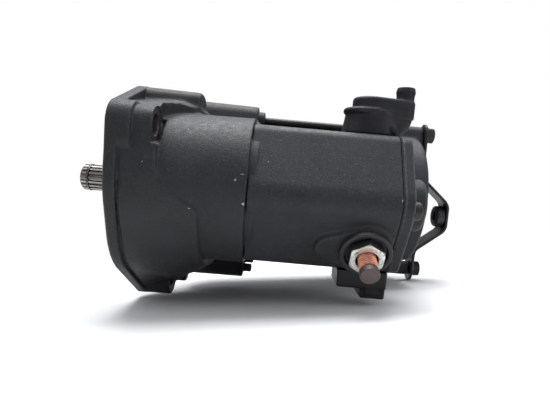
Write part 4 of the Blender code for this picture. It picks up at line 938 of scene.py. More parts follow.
def drive_housing():
    g = Grid((-1.24, -35.0, -58.5), (56.6, 98.0, 48.0), 0.62)
    outline = g.belt(FLANGE_MAIN + [FLANGE_EAR, FLANGE_TOP])
    bell = g.extrude(g.disc(0, 0, 32.15), 3.0, 53.7, 0.35, -0.6, -1.1)
    case = g.loft([(x, g.belt([(8, 0, shaft), (MOTOR_Y, 0, motor)]))
                   for x, shaft, motor in CASE_STATIONS])
    case = meet(case, between(g.x, 13.5, 53.7), 1.0)
    body = join(bell, drive_skirt(g), 0.4)
    body = join(body, case, 3.0)
    body = g.join_pads(body, DRIVE_PADS)
    body = join(body, g.extrude(outline, 0.0, 5.0, 0.6), 0.4)
    # shallow groove behind the flange's rim
    groove = np.maximum(np.abs(g.x - 5.35) - 0.45, -1.5 - outline[None])
    groove = np.maximum(groove, np.maximum(g.z - 11.0, g.y - 14.0))
    body = carve(body, groove, 0.35)
    body = np.maximum(body, g.x - 53.7)
    # spigot, bolt sleeves and a small peg at the rear
    body = np.minimum(body, g.rod(MOTOR_Y, 0, 34.55, 50.0, 55.2, 0.4))
    for z in BOLTS:
        body = np.minimum(body, g.rod(MOTOR_Y, z, 5.0, 47.0, 55.1, 0.4))
    body = join(body, g.rod(56.5, -47.0, 2.3, 47.0, 54.5, 0.4), 0.8)
    body = np.maximum(body, -g.x)
    # chamber, bearing seats and passages: y, z, radius, start x, end x
    body = cut(body, g.rod(0, 0, 26.0, 9.4, 90, 1.2))
    body = g.drill(body, (0, 0, 29.4, 21.5, 90), (*IDLER, 17.2, 26.4, 45.0),
                   (MOTOR_Y, 0, 14.0, 26.4, 45.0), (MOTOR_Y, 0, 29.0, 44.0, 90),
                   (*IDLER, 4.15, 19.0, 30.0))
    body = np.minimum(body, g.rod(0, 0, 12.0, 6.0, 18.2, 0.5))
    body = g.drill(body, (0, 0, 11.6, -9, 6.9), (0, 0, 8.7, -9, 40.0))
    for hole in (NEAR_HOLE, LOW_HOLE):
        body = g.drill(body, (*hole, 4.25, -9, 17.6))
        # machined spot face round the hole's rear end
        body = cut(body, g.rod(*hole, 6.6, BOSS_X - 0.35, BOSS_X + 0.8, 0.1))
    # room for the bolt heads; the near one is sunk into the bell
    recess = cut(g.rod(*NEAR_HOLE, 7.0, BOSS_X - 0.3, 18.6, 0.4), g.disc(0, 0, 29.8)[None])
    body = carve(body, recess, 0.4)
    body = carve(body, g.rod(*LOW_HOLE, 7.0, BOSS_X - 0.3, 24.0, 0.4), 0.4)
    body = g.drill(body, *((MOTOR_Y, z, 2.6, 26.0, 90) for z in BOLTS))

    def slot_of(centres):
        """0 coat, 1 mounting face, 2 spot faces and holes, 3 raw inside."""
        x = centres[:, 0]
        iy, iz = (np.clip(np.round((centres[:, a] - g.axes[a][0]) / g.step).astype(int), 0,
                          len(g.axes[a]) - 1) for a in (1, 2))
        slots = np.zeros(len(centres), np.int32)
        slots[(x < 1.1) & (outline[iy, iz] < 6.0)] = 1
        inside = np.zeros(len(centres), bool)
        for y, z, radius, start, end in DRIVE_INSIDE:
            r = np.hypot(centres[:, 1] - y, centres[:, 2] - z)
            inside |= (r < radius) & (x > start) & (x < end)
        spot_x = BOSS_X - 0.35
        for y, z in (NEAR_HOLE, LOW_HOLE):
            r = np.hypot(centres[:, 1] - y, centres[:, 2] - z)
            slots[(r < 6.75) & (np.abs(x - spot_x) < 0.5)] = 2
            slots[(r < 4.6) & (x < spot_x + 0.3)] = 2
            inside &= ~((r < 4.7) & (x < 17.8))
        slots[inside] = 3
        return slots

    ob = surface("drive_housing_casting", g, body, ["cast", "bare_face", "bare_spot", "bare_in"],
                 50, slot_of)
    register(ob, "drive_housing")


# ============================================================ solenoid and rear castings
def hexagon_circles(grow=0.0):
    """Corner circles (y, z, radius) of the solenoid's hexagon; the near one is wider."""
    circles = []
    for k in range(6):
        angle = math.radians(180 + 60 * k)
        radius = 12.0 if k == 0 else 6.0
        reach = (APOTHEM - radius) / C30
        circles.append((reach * math.cos(angle), reach * math.sin(angle), radius + grow))
    return circles


def solenoid_housing():
    g = Grid((46.6, -33.8, -32.0), (114.2, 35.0, 32.0), 0.55)
    body = g.extrude(g.belt(hexagon_circles()), 53.4, 113.0, 0.25)
    # raised tail pad round the terminal insulator
    height = g.y * BATTERY_OUT[1] + g.z * BATTERY_OUT[2]
    side = (g.y * BATTERY_UP[1] + g.z * BATTERY_UP[2]) - (BATTERY_SIDE - 1.2)
    pad = capsule(side, -(g.x - BATTERY_X), 10.8, 6.3, 13.5)
    body = join(body, rounded(pad, np.abs(height - 27.3) - 3.3, 1.0), 1.5)
    body = np.maximum(body, between(g.x, 54.0, 112.9))
    body = np.minimum(body, g.rod(0, 0, 29.1, 47.5, 57.0, 0.4))
    body = g.drill(body, (MOTOR_Y, 0, 35.1, 30, 150), (0, 0, 22.0, 57.6, 150),
                   (0, 0, 7.0, 30, 70), (0, 0, 17.0, 30, 54.3),
                   *((y, z, 2.3, 100, 150) for y, z in SCREWS))
    # holes of the two terminals
    for axis, origin in ((BATTERY_OUT, BATTERY_ORIGIN), (UP, (BOOT_X, 0, 0))):
        u, r = g.about(axis, origin)
        body = cut(body, np.maximum(r - 6.35, 15.0 - u))
    # opening above the control terminal
    slot = np.maximum(np.abs(g.x - 108.7) - 3.1, np.abs(g.y + 7.5) - 3.0)
    body = cut(body, np.maximum(slot, g.z + 20.0))

    def is_bare(centres):
        x, y, z = centres.T
        return (np.hypot(y, z) < 22.4) & (x < 112.6) | (x < 53.6)

    ob = surface("solenoid_housing_casting", g, body, ["cast_sol", "bare_in"], 50, is_bare)
    register(ob, "solenoid_housing")


def solenoid_cover():
    front, back = 113.65, 117.8                   # faces of the cover's plate
    g = Grid((113.0, -33.4, -30.0), (129.8, 35.0, 30.0), 0.42)
    body = g.extrude(g.belt(hexagon_circles(-0.05)), front, back, 0.45)
    body = join(body, g.rod(0, 0, 11.5, 112.0, 128.8, 1.4), 2.2)
    # small round pads under the screws
    for y, z in SCREWS:
        body = join(body, g.rod(y, z, 4.3, 114.0, back, 0.3), 0.5)
    body = np.maximum(body, front - g.x)
    outside_boss = np.hypot(g.Y, g.Z)[None] > 14.5
    body = np.maximum(body, np.where(outside_boss, g.x - back, -1).astype(np.float32))
    body = g.drill(body, (0, 0, 9.0, 100, 125.2), (MOTOR_Y, 0, 35.2, 100, 150),
                   *((y, z, 2.3, 100, 150) for y, z in SCREWS))
    ob = surface("solenoid_cover_casting", g, body, ["cast_cover"], 50)
    register(ob, "solenoid_cover")


def rear_cover():
    g = Grid((117.6, 23.6, -48.0), (145.8, 96.6, 44.0), 0.52)
    body = g.rod(MOTOR_Y, 0, 35.0, 117.0, 141.3, 1.6)
    # shallow dish and bearing boss on the end
    body = carve(body, g.rod(MOTOR_Y, 0, 29.5, 140.7, 150.0, 0.5), 0.8)
    body = join(body, g.rod(MOTOR_Y, 0, 15.0, 130.0, 141.3, 0.8), 1.2)
    # upper lug, and the root of the lower one
    body = g.join_pads(body, (
        ([(MOTOR_Y, BOLT_Z, 4.5), (MOTOR_Y, 32.0, 5.6)], 129.0, 144.8, 0.7, 0.0, 1.6),
        ([(MOTOR_Y, LOW_BOLT_Z, 3.9), (MOTOR_Y, -32.0, 5.6)], 124.0, 134.5, 0.8, 0.0, 1.2)))
    # the lower lug stands clear of the cup behind its root
    lug = g.rod(MOTOR_Y, LOW_BOLT_Z, 3.9, 125.0, 144.8, 0.5)
    body = np.where(g.x < 135.0, join(body, lug, 0.8), np.minimum(body, lug))
    body = np.maximum(body, 118.3 - g.x)
    body = g.drill(body, (MOTOR_Y, 0, 31.6, 100, 136.0))
    seat = g.drill(g.bore(MOTOR_Y, 0, 17.6, 127.5, 141.0), (MOTOR_Y, 0, 13.45, 100, 136.4))
    body = np.minimum(body, seat)
    body = g.drill(body, *((MOTOR_Y, z, 2.6, 100, 160) for z in BOLTS))

    def is_bare(centres):
        x, y, z = centres.T
        return (np.hypot(y - MOTOR_Y, z) < 31.9) & (x < 136.6)

    ob = surface("rear_cover_casting", g, body, ["cast_rear_lit", "bare_in"], 50, is_bare)
    register(ob, "rear_cover")


# ============================================================ rear bracket
STRAP_HALF = 0.75                                 # half the strap's thickness
STRAP_X = 145.1 + STRAP_HALF                      # middle of its flat ends
# corners of the strap's middle line: x, z
STRAP_LINE = ((STRAP_X, 48.0), (STRAP_X, 13.3), (160.75, 0.35), (162.05, -2.3),
              (162.05, -13.5), (160.75, -16.15), (STRAP_X, -28.1), (STRAP_X, -50.0))


def bent_line(corners, bend=2.6):
    """Line with its corners rounded off."""
    corners = [np.array(p) for p in corners]
    line = [corners[0]]
    for a, b, c in zip(corners, corners[1:], corners[2:]):
        before, after = np.linalg.norm(b - a), np.linalg.norm(c - b)
        r = min(bend, 0.45 * before, 0.45 * after)
        p0, p1 = b + (a - b) / before * r, b + (c - b) / after * r
        for t in np.linspace(0, 1, 7):
            line.append((1 - t) ** 2 * p0 + 2 * t * (1 - t) * b + t * t * p1)
    return line + [corners[-1]]


def bracket_strap():
    g = Grid((143.9, 51.0, -47.5), (164.0, 66.2, 46.0), 0.34)
    X, Z = np.meshgrid(g.axes[0], g.axes[2], indexing="ij")
    distance = np.full(X.shape, 1e9)
    line = bent_line(STRAP_LINE)
    for a, b in zip(line, line[1:]):
        e = b - a
        t = np.clip(((X - a[0]) * e[0] + (Z - a[1]) * e[1]) / (e @ e), 0, 1)
        distance = np.minimum(distance, np.hypot(X - a[0] - e[0] * t, Z - a[1] - e[1] * t))
    sheet = (distance - STRAP_HALF).astype(np.float32)[:, None, :]
    outline = g.belt([(59.0, BOLT_Z, 6.0), (58.5, 22.0, 6.5), (58.5, -22.0, 6.5),
                      (59.0, LOW_BOLT_Z, 6.7)])
    body = rounded(sheet, outline[None], 0.3)
    body = g.drill(body, *((MOTOR_Y, z, 2.6, 100, 155) for z in BOLTS), (*NUT_AXIS, 3.4, 150, 175))
    register(surface("rear_bracket_strap", g, body, ["strap"], 50), "rear_bracket")


def bracket_nut():
    profile = [(156.6, 3.25), (156.6, 5.2), (156.8, 5.6), (157.3, 5.95), (160.9, 6.0),
               (161.1, 5.8), (161.1, 3.4)] + thread(160.9, 156.9, -0.4, 3.36, 3.02)
    ob = turned("bracket_weld_nut", profile, 72, ["bolt"], NUT_AXIS, closed=True)
    register(ob, "bracket_nut")


# ============================================================ boot and control block
def boot():
    outlet_x, foot_z = 117.4, 28.4
    g = Grid((89.4, -11.6, 27.4), (123.8, 11.6, 51.2), 0.36)

    def plan(x0, y0, r0, x1, y1, r1):
        """Belt round two circles seen from above, x measured from the stud."""
        dx, dy = x1 - x0, y1 - y0
        length = math.hypot(dx, dy)
        x, y = g.x - BOOT_X - x0, g.y - y0
        return capsule((-x * dy + y * dx) / length, (x * dx + y * dy) / length, r0, r1, length)

    body = slab(plan(-2.9, -0.4, 9.2, 2.9, -0.4, 9.2), g.z, foot_z, 38.4, 1.0, -1.5)
    # rolled lip on top of the cup, which runs out towards the tail
    lip = slab(plan(-2.7, -0.5, 9.15, 1.6, -0.5, 9.0), g.z, 36.9, 39.7, 1.35)
    lip = lip + np.clip((g.x - 104.5) * 0.30, 0, 3.0)
    body = join(body, lip, 0.3)
    # upper tier, with an edge along the underside of the tail
    tier = slab(plan(0.2, 0, 8.3, 13.2, 0, 5.6), g.z, 35.4, 44.6, 1.5)
    tier = meet(tier, 36.7 - g.z, 0.5)
    # below that edge the tail runs down into the cup, with a rounded lobe at its foot
    t = np.clip((g.z - foot_z) / 8.6, 0, 1)
    t = 1 - (1 - t) ** 2
    foot = plan(-0.2, -1.2, 8.4, 7.2, -1.0, 6.0) * (1 - t)
    foot = foot + plan(-0.2, -0.8, 8.4, 13.0, 0, 5.4) * t + 0.35
    tier = join(tier, np.maximum(foot, between(g.z, foot_z, 39.0)), 0.6)
    body = join(body, tier, 0.8)
    body = join(body, g.ball(111.2, -5.6, 31.2, 2.9, tall=1.15), 0.5)
    # outlet pipe with a swelling near its end
    z, r = g.about(UP, (outlet_x, 0, 0))
    swelling = 0.32 * np.clip(1 - np.abs(z - 48.3) / 1.6, 0, 1)
    body = join(body, meet(r - 3.85 - swelling, between(z, 38.0, 50.3), 0.5), 0.9)
    # small moulding nibs beside the outlet
    for nib in ((112.6, -5.6, 41.6), (114.6, -5.3, 42.4), (113.2, -5.5, 43.0)):
        body = join(body, g.ball(*nib, 0.55), 0.25)
    body = np.maximum(body, foot_z - g.z)
    # stepped room over the nut: half length, radius, top
    for half, radius, top in ((1.2, 7.0, 37.0), (0.4, 6.3, 41.6)):
        room = plan(-half, 0, radius, half, 0, radius)
        body = cut(body, np.maximum(room, between(g.z, 20, top)))
    # notch on the far side
    notch = np.maximum(np.abs(g.x - BOOT_X) - 4.2, -g.y)
    body = cut(body, np.maximum(notch, between(g.z, 20, APOTHEM + 4.6)))
    body = cut(body, np.maximum(r - 2.4, 40.0 - z))
    register(surface("terminal_boot_rubber", g, body, ["rubber"], 60), "terminal_boot")


def control_block():
    g = Grid((91.0, -17.0, -41.0), (114.6, 3.2, -27.4), 0.34)
    body = join(g.box((93.0, -16.0, -35.6), (113.8, 2.0, -26.0), 1.0),
                g.box((103.2, -15.0, -39.8), (113.6, 1.0, -30.0), 0.9), 0.8)
    # locking ridge on the near side of the socket
    body = join(body, g.box((105.0, -15.9, -38.0), (110.4, -14.0, -35.0), 0.4), 0.4)
    body = np.maximum(body, g.z + APOTHEM + 0.3)
    body = cut(body, g.box((105.0, -13.4, -60.0), (112.2, -1.0, -31.0), 0.3))
    body = cut(body, g.box((106.2, -9.9, -34.0), (111.2, -5.1, -10.0), 0.05))
    ob = surface("control_terminal_block_body", g, body, ["plastic"], 50)
    register(ob, "control_terminal_block")


# ============================================================ yoke and fasteners
def yoke():
    outer, inner = 34.7, 31.6
    profile = [(55.5, inner), (55.5, outer - 0.5), (55.7, outer - 0.2), (56.0, outer)]
    # extra rings keep the long faces short for the shading
    profile += [(x, outer) for x in np.linspace(60, 114, 10)]
    profile += [(117.5, outer), (117.8, outer - 0.2), (118.0, outer - 0.5), (118.0, inner)]
    ob = turned("yoke_tube", profile, 192, ["yoke"], MOTOR_AXIS, closed=True)
    register(ob, "yoke")


def cover_screws():
    for i, (y, z) in enumerate(SCREWS):
        node = "cover_screw_%d" % (i + 1)
        g = Grid((116.5, y - 4.2, z - 4.2), (122.5, y + 4.2, z + 4.2), 0.2)
        # domed pan head
        r = np.hypot(g.Y - y, g.Z - z)[None]
        dome = (np.sqrt((g.x - 114.6) ** 2 + r ** 2) - 7.3).astype(np.float32)
        body = meet(g.rod(y, z, 3.6, 118.1, 123.7, 0.35), dome, 0.5)
        body = np.minimum(body, g.bore(y, z, 1.9, 117.1, 118.7))
        # cross recess, shallower towards its ends
        turn = math.radians(20 + 50 * i)
        a = (g.y - y) * math.cos(turn) + (g.z - z) * math.sin(turn)
        b = -(g.y - y) * math.sin(turn) + (g.z - z) * math.cos(turn)
        floor = 120.1 + 0.45 * r
        for across, along in ((a, b), (b, a)):
            arm = np.maximum(np.abs(across) - 0.45, np.abs(along) - 2.1)
            body = cut(body, np.maximum(arm, floor - g.x))
        register(surface(node + "_head", g, body, ["screw"], 40), node)
        profile = [(103.0, 0.9), (103.5, 1.5)] + thread(103.7, 115.5, 0.35, 1.62, 1.9)
        profile += [(115.8, 1.88), (117.3, 1.88)]
        ob = turned(node + "_thread", profile, 32, ["dark_steel"], (y, z))
        register(ob, node)


def through_bolts():
    seat = 146.9                                  # x of the faces under the heads
    flats_end = seat + 3.9
    for name, z, phase in (("through_bolt_upper", BOLT_Z, 0.2),
                           ("through_bolt_lower", LOW_BOLT_Z, 0.75)):
        head = hexagon(across_flats=8.0, phase=phase, blunt=0.12)
        profile = [(27.0, 1.2), (27.5, 1.7)] + thread(27.8, 45.0, 0.4, 1.95, 2.25)
        profile += [(45.4, 2.1), (46.0, 2.2), (seat - 0.02, 2.2), (seat, 2.3)]
        # round flange, then the hexagon and its chamfer
        profile += [(seat + 0.001, 4.5), (seat + 0.15, 4.9), (seat + 0.4, 5.0),
                    (seat + 0.7, 4.9), (seat + 1.0, 4.55),
                    (seat + 1.02, capped(head, 4.5)), (seat + 1.5, head), (flats_end, head)]
        for t in np.linspace(0.15, 1, 5):
            profile.append((flats_end + 0.75 * t, capped(head, 4.62 - 1.0 * t ** 1.5)))
        profile += [(seat + 4.85, 3.0), (seat + 5.03, 1.9), (seat + 5.1, 0.7)]
        ob = turned(name + "_painted", profile, 96, ["bolt"], (MOTOR_Y, z), angle=32)
        register(ob, name)


# ============================================================ terminals
def contact_block():
    """Bevelled block at the inner end of a stud: points and faces."""
    bm = bmesh.new()
    bmesh.ops.create_cube(bm, size=1.0)
    for v in bm.verts:
        v.co = Vector((v.co.x * 3.8, v.co.y * 9.0, v.co.z * 9.6))
    bmesh.ops.bevel(bm, geom=bm.edges[:], offset=0.5, segments=3, affect="EDGES")
    points = np.array([v.co[:] for v in bm.verts])
    faces = [tuple(v.index for v in f.verts) for f in bm.faces]
    bm.free()
    return points, faces


def hex_nut(name, start, end, across_flats, bore, matrix, material, phase):
    outline, half = hexagon(across_flats, phase, blunt=0.10), across_flats / 2
    profile = [(start, bore + 0.35), (start, capped(outline, half - 0.05)),
               (start + 0.35, capped(outline, half + 0.5)),
               (start + 0.7, capped(outline, half + 1.1)), (start + 0.9, outline),
               (end - 0.9, outline)]
    for t in np.linspace(0, 1, 5):
        profile.append((end - 0.9 + 0.9 * t, capped(outline, half + 1.05 - 1.2 * t ** 1.3)))
    profile += [(end, bore + 0.5)] + thread(end - 0.5, start + 0.4, -0.55, bore + 0.35, bore + 0.04)
    return turned(name, profile, 144, [material], closed=True, matrix=matrix, angle=28)


def battery_stud():
    """Stud with a rolled thread, whose crest climbs one pitch a turn."""
    pitch, depth, crest = 1.0, 0.46, 3.60
    start, tip = APOTHEM + 0.5, APOTHEM + 17.3

    def rolled(u):
        def radius(t):
            off_valley = np.abs(2 * np.mod(u / pitch - t / (2 * np.pi), 1.0) - 1)
            lift = np.clip((off_valley - 0.10) / 0.78, 0, 1)
            return crest - depth * (1 - lift) * min(1.0, u - start)
        return radius

    profile = [(18.6, 3.6), (18.8, 3.9), (24.0, 3.95)]
    for u in np.arange(start, tip - 0.01, 0.125 * (1)):
        left = tip - u
        # plain end with a rounded edge, behind a groove
        if left < 0.8:
            radius = 3.05 + 0.69 * math.sqrt(1 - ((0.8 - left) / 0.8) ** 2)
        elif left < 2.7:
            radius = 3.74
        elif left < 3.2:
            radius = 3.30
        else:
            radius = rolled(u)
        profile.append((u, radius))
    profile += [(tip, 2.95), (tip - 0.12, 2.75), (tip - 0.02, 2.5), (tip, 1.2)]
    ob = turned("battery_stud_threaded", profile, 72, ["copper"], matrix=BATTERY_MATRIX, angle=60)
    register(ob, "battery_stud")


def battery_terminal():
    battery_stud()
    points, faces = contact_block()
    turn = np.array(Vector(UP).rotation_difference(Vector(BATTERY_OUT)).to_matrix())
    centre = np.array([BATTERY_X - 2.5, 0, 0]) + BATTERY_OUT * 15.2 + BATTERY_UP * BATTERY_SIDE
    ob = add_mesh("battery_stud_contact", points @ turn.T + centre, faces, ["copper_in"], 35)
    register(ob, "battery_stud")

    # rimmed dish: distance out from the facet, radius
    dish = ((2.5, 5.9), (2.7, 6.2), (2.7, 9.9), (2.9, 10.2), (3.2, 10.3), (4.8, 10.3),
            (5.15, 10.2), (5.35, 9.95), (5.4, 9.7), (5.4, 8.7), (5.3, 8.5), (5.0, 8.35),
            (3.4, 8.1), (3.4, 4.3))
    profile = [(20.4, 4.3), (20.4, 5.6), (20.7, 5.9)] + [(APOTHEM + u, r) for u, r in dish]
    ob = turned("terminal_insulator_moulding", profile, 128, ["phenolic"], closed=True,
                matrix=BATTERY_MATRIX)
    register(ob, "terminal_insulator")
    ob = hex_nut("battery_nut_zinc", APOTHEM + 3.8, APOTHEM + 8.4, across_flats=13.0, bore=4.05,
                 matrix=BATTERY_MATRIX, material="zinc_shaded_foot", phase=math.radians(30))
    register(ob, "battery_nut")


def motor_terminal():
    profile = [(18.6, 2.6), (18.8, 3.0), (30.0, 3.0)] + thread(30.2, 39.0, 0.5, 2.7, 3.0)
    profile += [(39.4, 2.6), (39.8, 2.0)]
    ob = turned("motor_stud_threaded", profile, 48, ["copper_in"], matrix=MOTOR_STUD_MATRIX)
    register(ob, "motor_stud")
    points, faces = contact_block()
    centre = (BOOT_X - 3.9, 0, 15.2)
    ob = add_mesh("motor_stud_contact", points + centre, faces, ["copper_in"], 35)
    register(ob, "motor_stud")
    # collar: distance out from the facet, radius
    collar = ((0.3, 5.9), (0.3, 6.7), (0.6, 7.0), (1.5, 7.0), (1.8, 6.7), (1.8, 3.3))
    profile = [(20.4, 3.3), (20.4, 5.7), (20.7, 5.9)] + [(APOTHEM + u, r) for u, r in collar]
    ob = turned("motor_stud_insulator_moulding", profile, 72, ["phenolic"], closed=True,
                matrix=MOTOR_STUD_MATRIX)
    register(ob, "motor_stud_insulator")
    ob = hex_nut("motor_stud_nut_zinc", APOTHEM + 4.2, APOTHEM + 8.2, across_flats=10.0,
                 bore=3.05, matrix=MOTOR_STUD_MATRIX, material="zinc", phase=0.2)
    register(ob, "motor_stud_nut")


# ============================================================ shaft, seals and spring
def splines(teeth, crest, root, share, flank):
    """Radius by angle; share and flank are fractions of half a pitch."""
    def radius(t):
        off_tooth = np.abs(np.mod(t * teeth / (2 * np.pi) + 0.5, 1.0) - 0.5) * 2
        drop = np.clip((off_tooth - share) / flank, 0, 1)
        drop = drop * drop * (3 - 2 * drop)
        return crest + (root - crest) * drop
    return radius


def output_shaft():
    tip = splines(teeth=18, crest=5.65, root=4.75, share=0.42, flank=0.2)
    drive = splines(teeth=10, crest=7.6, root=6.4, share=0.42, flank=0.14)
    profile = [(SHAFT_TIP_X, 3.9), (-20.28, capped(tip, 4.45)), (-20.05, capped(tip, 4.9)),
               (-19.6, capped(tip, 5.45)), (-19.35, tip), (-17.35, tip)]
    # groove of the snap ring
    profile += [(-17.2, capped(tip, 5.3)), (-17.19, 4.4), (-16.31, 4.4),
                (-16.3, capped(tip, 5.3)), (-16.15, tip)]
    profile += [(x, tip) for x in np.linspace(-15.0, -1.6, 10)]
    profile += [(-1.2, capped(tip, 5.6)), (-0.9, 5.3), (-0.5, 5.9), (-0.1, 6.25), (0.1, 6.3),
                (15.0, 6.3), (29.3, 6.3), (29.5, 6.0), (29.8, 5.95)]
    profile += [(30.0, capped(drive, 6.9)), (30.5, drive), (49.3, drive),
                (49.8, capped(drive, 6.9)), (49.82, 5.8), (50.0, 5.7), (50.1, 5.2)]
    ob = turned("output_shaft_splined", profile, 360, ["shaft"], angle=24)
    register(ob, "output_shaft", rides="shaft")


def snap_ring():
    """Round-edged wire ring with a gap at the top."""
    middle_x, middle_radius, half_width, half_height = -16.75, 5.27, 0.38, 0.62

    def squarish(value):
        return np.sign(value) * abs(value) ** 0.5

    section = [(half_width * squarish(math.cos(c)), half_height * squarish(math.sin(c)))
               for c in np.linspace(0, 2 * np.pi, 16, endpoint=False)]
    rings = [[(middle_x + dx, (middle_radius + dr) * math.cos(a), (middle_radius + dr) * math.sin(a))
              for dx, dr in section]
             for a in np.linspace(math.radians(98), math.radians(442), 120)]
    ob = skin("snap_ring_wire", rings, ["dark_steel"], angle=40)
    register(ob, "snap_ring", rides="shaft")


def shaft_seal():
    profile = [(1.4, 7.6), (1.4, 10.9), (1.7, 11.25), (6.1, 11.3), (6.4, 11.0), (6.4, 9.0),
               (6.1, 8.4), (5.6, 7.3), (5.2, 6.75), (4.9, 6.62), (4.6, 6.75), (4.2, 7.3),
               (3.8, 8.6), (3.5, 9.3), (2.9, 9.4), (2.4, 9.1), (2.1, 8.2), (1.9, 7.6)]
    ob = turned("shaft_seal_rubber", profile, 96, ["rubber"], closed=True, angle=35)
    register(ob, "shaft_seal")


def gasket():
    count, inner, saddle = 240, 22.1, 35.6
    corners = belt_polygon(hexagon_circles(-0.12), 96)
    side_y, side_z = (np.roll(corners, -1, axis=0) - corners).T
    offset = corners[:, 0] * side_z - corners[:, 1] * side_y
    outer = np.empty(count)
    for i, angle in enumerate(np.linspace(0, 2 * np.pi, count, endpoint=False)):
        dy, dz = math.cos(angle), math.sin(angle)
        # a ray leaves the convex outline at the nearest side that it faces
        outer[i] = (offset / np.maximum(dy * side_z - dz * side_y, 1e-9)).min()
        # saddle for the motor's yoke
        ahead = MOTOR_Y * dy
        inside = ahead * ahead - (MOTOR_Y * MOTOR_Y - saddle * saddle)
        if inside > 0 and ahead > 0:
            outer[i] = min(outer[i], ahead - math.sqrt(inside))
    outer = np.maximum(outer, 23.0)
    profile = [(113.04, inner), (113.04, outer - 0.04), (113.08, outer), (113.56, outer),
               (113.6, outer - 0.04), (113.6, inner)]
    ob = turned("cover_gasket_paper", profile, count, ["gasket"], closed=True)
    register(ob, "cover_gasket")


def return_spring():
    start, end, radius, wire, turns = 60.8, 83.2, 6.4, 0.65, 5.0
    count, sides = 900, 12
    travel, along = 9.0, np.array([1, 0, 0])
    rings = []
    for i in range(count + 1):
        u = i / count
        # the first and last tenth of the wire rise slowly
        rise = (0.06 * min(u / 0.1, 1.0) + 0.88 * max(0.0, min(1.0, (u - 0.1) / 0.8))
                + 0.06 * max(0.0, (u - 0.9) / 0.1))
        x = start + wire + (end - start - 2 * wire) * rise
        a = 2 * math.pi * turns * u
        outward = np.array([0, math.cos(a), math.sin(a)])
        centre = np.array([x, radius * math.cos(a), radius * math.sin(a)])
        rings.append([centre + outward * wire * math.cos(2 * math.pi * k / sides)
                      + along * wire * math.sin(2 * math.pi * k / sides) for k in range(sides)])
    ob = skin("return_spring_wire", rings, ["dark_steel"], angle=60)
    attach(ob, "housing")
    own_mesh(ob)
    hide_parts("return_spring")


# ============================================================ pieces kept from the frame
CARRIED = {
    "steel": "clutch_sleeve clutch_gear clutch_rollers idler_gear idler_pin sleeve_bearing "
             "front_bearing rear_bearing armature_shaft",
    "dark_steel": "plunger solenoid_core bearing_plate",
    "zinc": "control_blade",
    "copper_in": "contact_disc field_lead",
    "commutator": "commutator",
    "wire": "solenoid_winding field_coils armature_winding_front armature_winding_rear",
    "lam": "pole_shoe_1 pole_shoe_2 pole_shoe_3 pole_shoe_4 armature_core",
    "bronze": "nose_bush clutch_bush idler_rollers",
    "phenolic": "coil_bobbin brush_plate",
    "carbon": "brush_1 brush_2 brush_3 brush_4",
}


def carried_pieces():
    for key, nodes in CARRIED.items():
        for node in nodes.split():
            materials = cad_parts[node].data.materials
            materials.clear()
            materials.append(MAT[key])


# ============================================================ stage, in metres
FLOOR_SLOPE_X, FLOOR_SLOPE_Y = 0.116, -0.108


def floor_height():
    """Height at the mounting axis of the sloping plane just under the lowest point."""
    low = 1e9
    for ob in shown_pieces():
        mesh = ob.evaluated_get(bpy.context.evaluated_depsgraph_get()).data
        co = np.empty(len(mesh.vertices) * 3, np.float32)
        mesh.vertices.foreach_get("co", co)
        world = np.array(ob.matrix_world)
        co = co.reshape(-1, 3) @ world[:3, :3].T + world[:3, 3]
        plane = FLOOR_SLOPE_X * (co[:, 0] - FACE_X * MM)
        low = min(low, float((co[:, 2] - plane - FLOOR_SLOPE_Y * co[:, 1]).min()))
    return low - 0.0002


def floor_material():
    """Pale floor that brightens to white away from the part."""
    m = Material("pale_floor")
    colour = m.mix(m.noise(scale=9), (0.82, 0.83, 0.845), (0.86, 0.868, 0.88))
    distance = m.vector_math("DISTANCE", m.place, packed(60, 20, -45), "Value")
    far = m.ramp(m.times(distance, 1 / 0.6), (0.16, 0.0), (0.62, 1.0))
    material = m.finish(colour, rough=0.7, specular=0.25,
                        normal=m.bump(m.noise(scale=900), strength=0.03, depth=0.0001))
    seen = m.node("LightPath").outputs["Is Camera Ray"]
    glow = m.node("Emission", {0: (1, 1, 1), 1: m.span(seen, start=0.30, end=1.0)})
    mixed = m.node("MixShader", {0: far, 1: m.principled.outputs[0], 2: glow.outputs[0]})
    m.feed(m.output.inputs[0], mixed.outputs[0])
    return material


def floor():
    count, reach = 60, 3.0
    spacing = np.linspace(-1, 1, count)
    spacing = np.sign(spacing) * np.abs(spacing) ** 2 * reach
    X, Y = np.meshgrid(spacing + 0.08, spacing + 0.03, indexing="ij")
    Z = FLOOR_SLOPE_X * X + FLOOR_SLOPE_Y * Y + floor_height()
    points = np.stack([X + FACE_X * MM, Y, Z], -1).reshape(-1, 3)
    faces = [(k, k + count, k + count + 1, k + 1)
             for i in range(count - 1) for k in range(i * count, (i + 1) * count - 1)]
    mesh = bpy.data.meshes.new("floor")
    mesh.from_pydata([tuple(p) for p in points], [], faces)
    ob = bpy.data.objects.new("floor", mesh)
    bpy.context.scene.collection.objects.link(ob)
    mesh.materials.append(floor_material())
    ob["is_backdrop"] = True


def studio_world():
    """Dome that lights from above; the camera itself sees plain white."""
    world = bpy.data.worlds.new("studio")
    bpy.context.scene.world = world
    world.use_nodes = True
    w = Nodes(world.node_tree)
    direction = w.node("SeparateXYZ", {0: w.node("TexCoord").outputs["Generated"]})
    height = w.math("MULTIPLY_ADD", direction.outputs[2], 0.5, 0.5)
    sky = w.ramp(height, (0.0, 0.12), (0.50, 0.24), (0.72, 0.62), (1.0, 1.0),
                 tint=(0.985, 1.0, 1.03))
    dome = w.node("Background", {0: sky, 1: 0.85})
    white = w.node("Background", {0: (1, 1, 1), 1: 1.0})
    seen = w.node("LightPath").outputs["Is Camera Ray"]
    mixed = w.node("MixShader", {0: seen, 1: dome.outputs[0], 2: white.outputs[0]})
    w.node("OutputWorld", {0: mixed.outputs[0]})


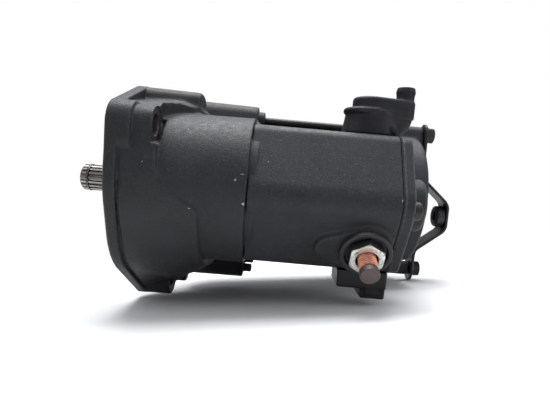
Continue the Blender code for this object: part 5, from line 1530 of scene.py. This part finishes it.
# name, place and target (x from LIGHTS_X, y, z), width, height, watts
SOFTBOXES = (
    ("top_softbox", (-0.05, 0.20, 0.72), (0.0, 0.0, 0.0), 0.7, 0.55, 10.0),
    ("left_softbox", (-0.75, -0.45, 0.35), (-0.02, 0.0, 0.0), 0.5, 0.6, 0.8),
    ("right_softbox", (0.7, -0.35, 0.4), (0.03, 0.0, 0.0), 0.4, 0.5, 1.2),
)
LIGHTS_X = (70 + FACE_X) * MM


def softboxes():
    for name, (x, y, z), (target_x, *target), width, height, watts in SOFTBOXES:
        light = bpy.data.lights.new(name, "AREA")
        light.shape = "RECTANGLE"
        light.size = width
        light.size_y = height
        light.energy = watts
        ob = bpy.data.objects.new(name, light)
        bpy.context.scene.collection.objects.link(ob)
        ob.location = (LIGHTS_X + x, y, z)
        aim = Vector((LIGHTS_X + target_x, *target)) - Vector((LIGHTS_X + x, y, z))
        ob.rotation_euler = aim.to_track_quat("-Z", "Y").to_euler()


def camera():
    """Looks along +Y, tipped down and rolled a little."""
    scene = bpy.context.scene
    data = bpy.data.cameras.new("camera")
    data.lens = 28.8
    data.sensor_width = 36
    data.clip_start = 0.01
    ob = bpy.data.objects.new("camera", data)
    scene.collection.objects.link(ob)
    roll, tip = math.radians(5), math.radians(4.5)
    forward = Vector((0, math.cos(tip), -math.sin(tip)))
    level_up = Vector((0, math.sin(tip), math.cos(tip)))
    level_right = Vector((1, 0, 0))
    right = level_right * math.cos(roll) + level_up * math.sin(roll)
    up = -level_right * math.sin(roll) + level_up * math.cos(roll)
    matrix = Matrix((right, up, -forward)).transposed().to_4x4()
    matrix.translation = (0.065 + FACE_X * MM, -0.19486, 0.009418)
    ob.matrix_world = matrix
    scene.camera = ob
    scene.view_settings.view_transform = "Standard"
    scene.view_settings.look = "None"
    scene.view_settings.exposure = 0.0
    scene.view_settings.gamma = 1.0


for build in (drive_housing, solenoid_housing, solenoid_cover, rear_cover, bracket_strap,
              bracket_nut, boot, control_block, yoke, cover_screws, through_bolts,
              battery_terminal, motor_terminal, output_shaft, snap_ring, shaft_seal, gasket,
              return_spring, carried_pieces, floor, studio_world, softboxes, camera):
    build()
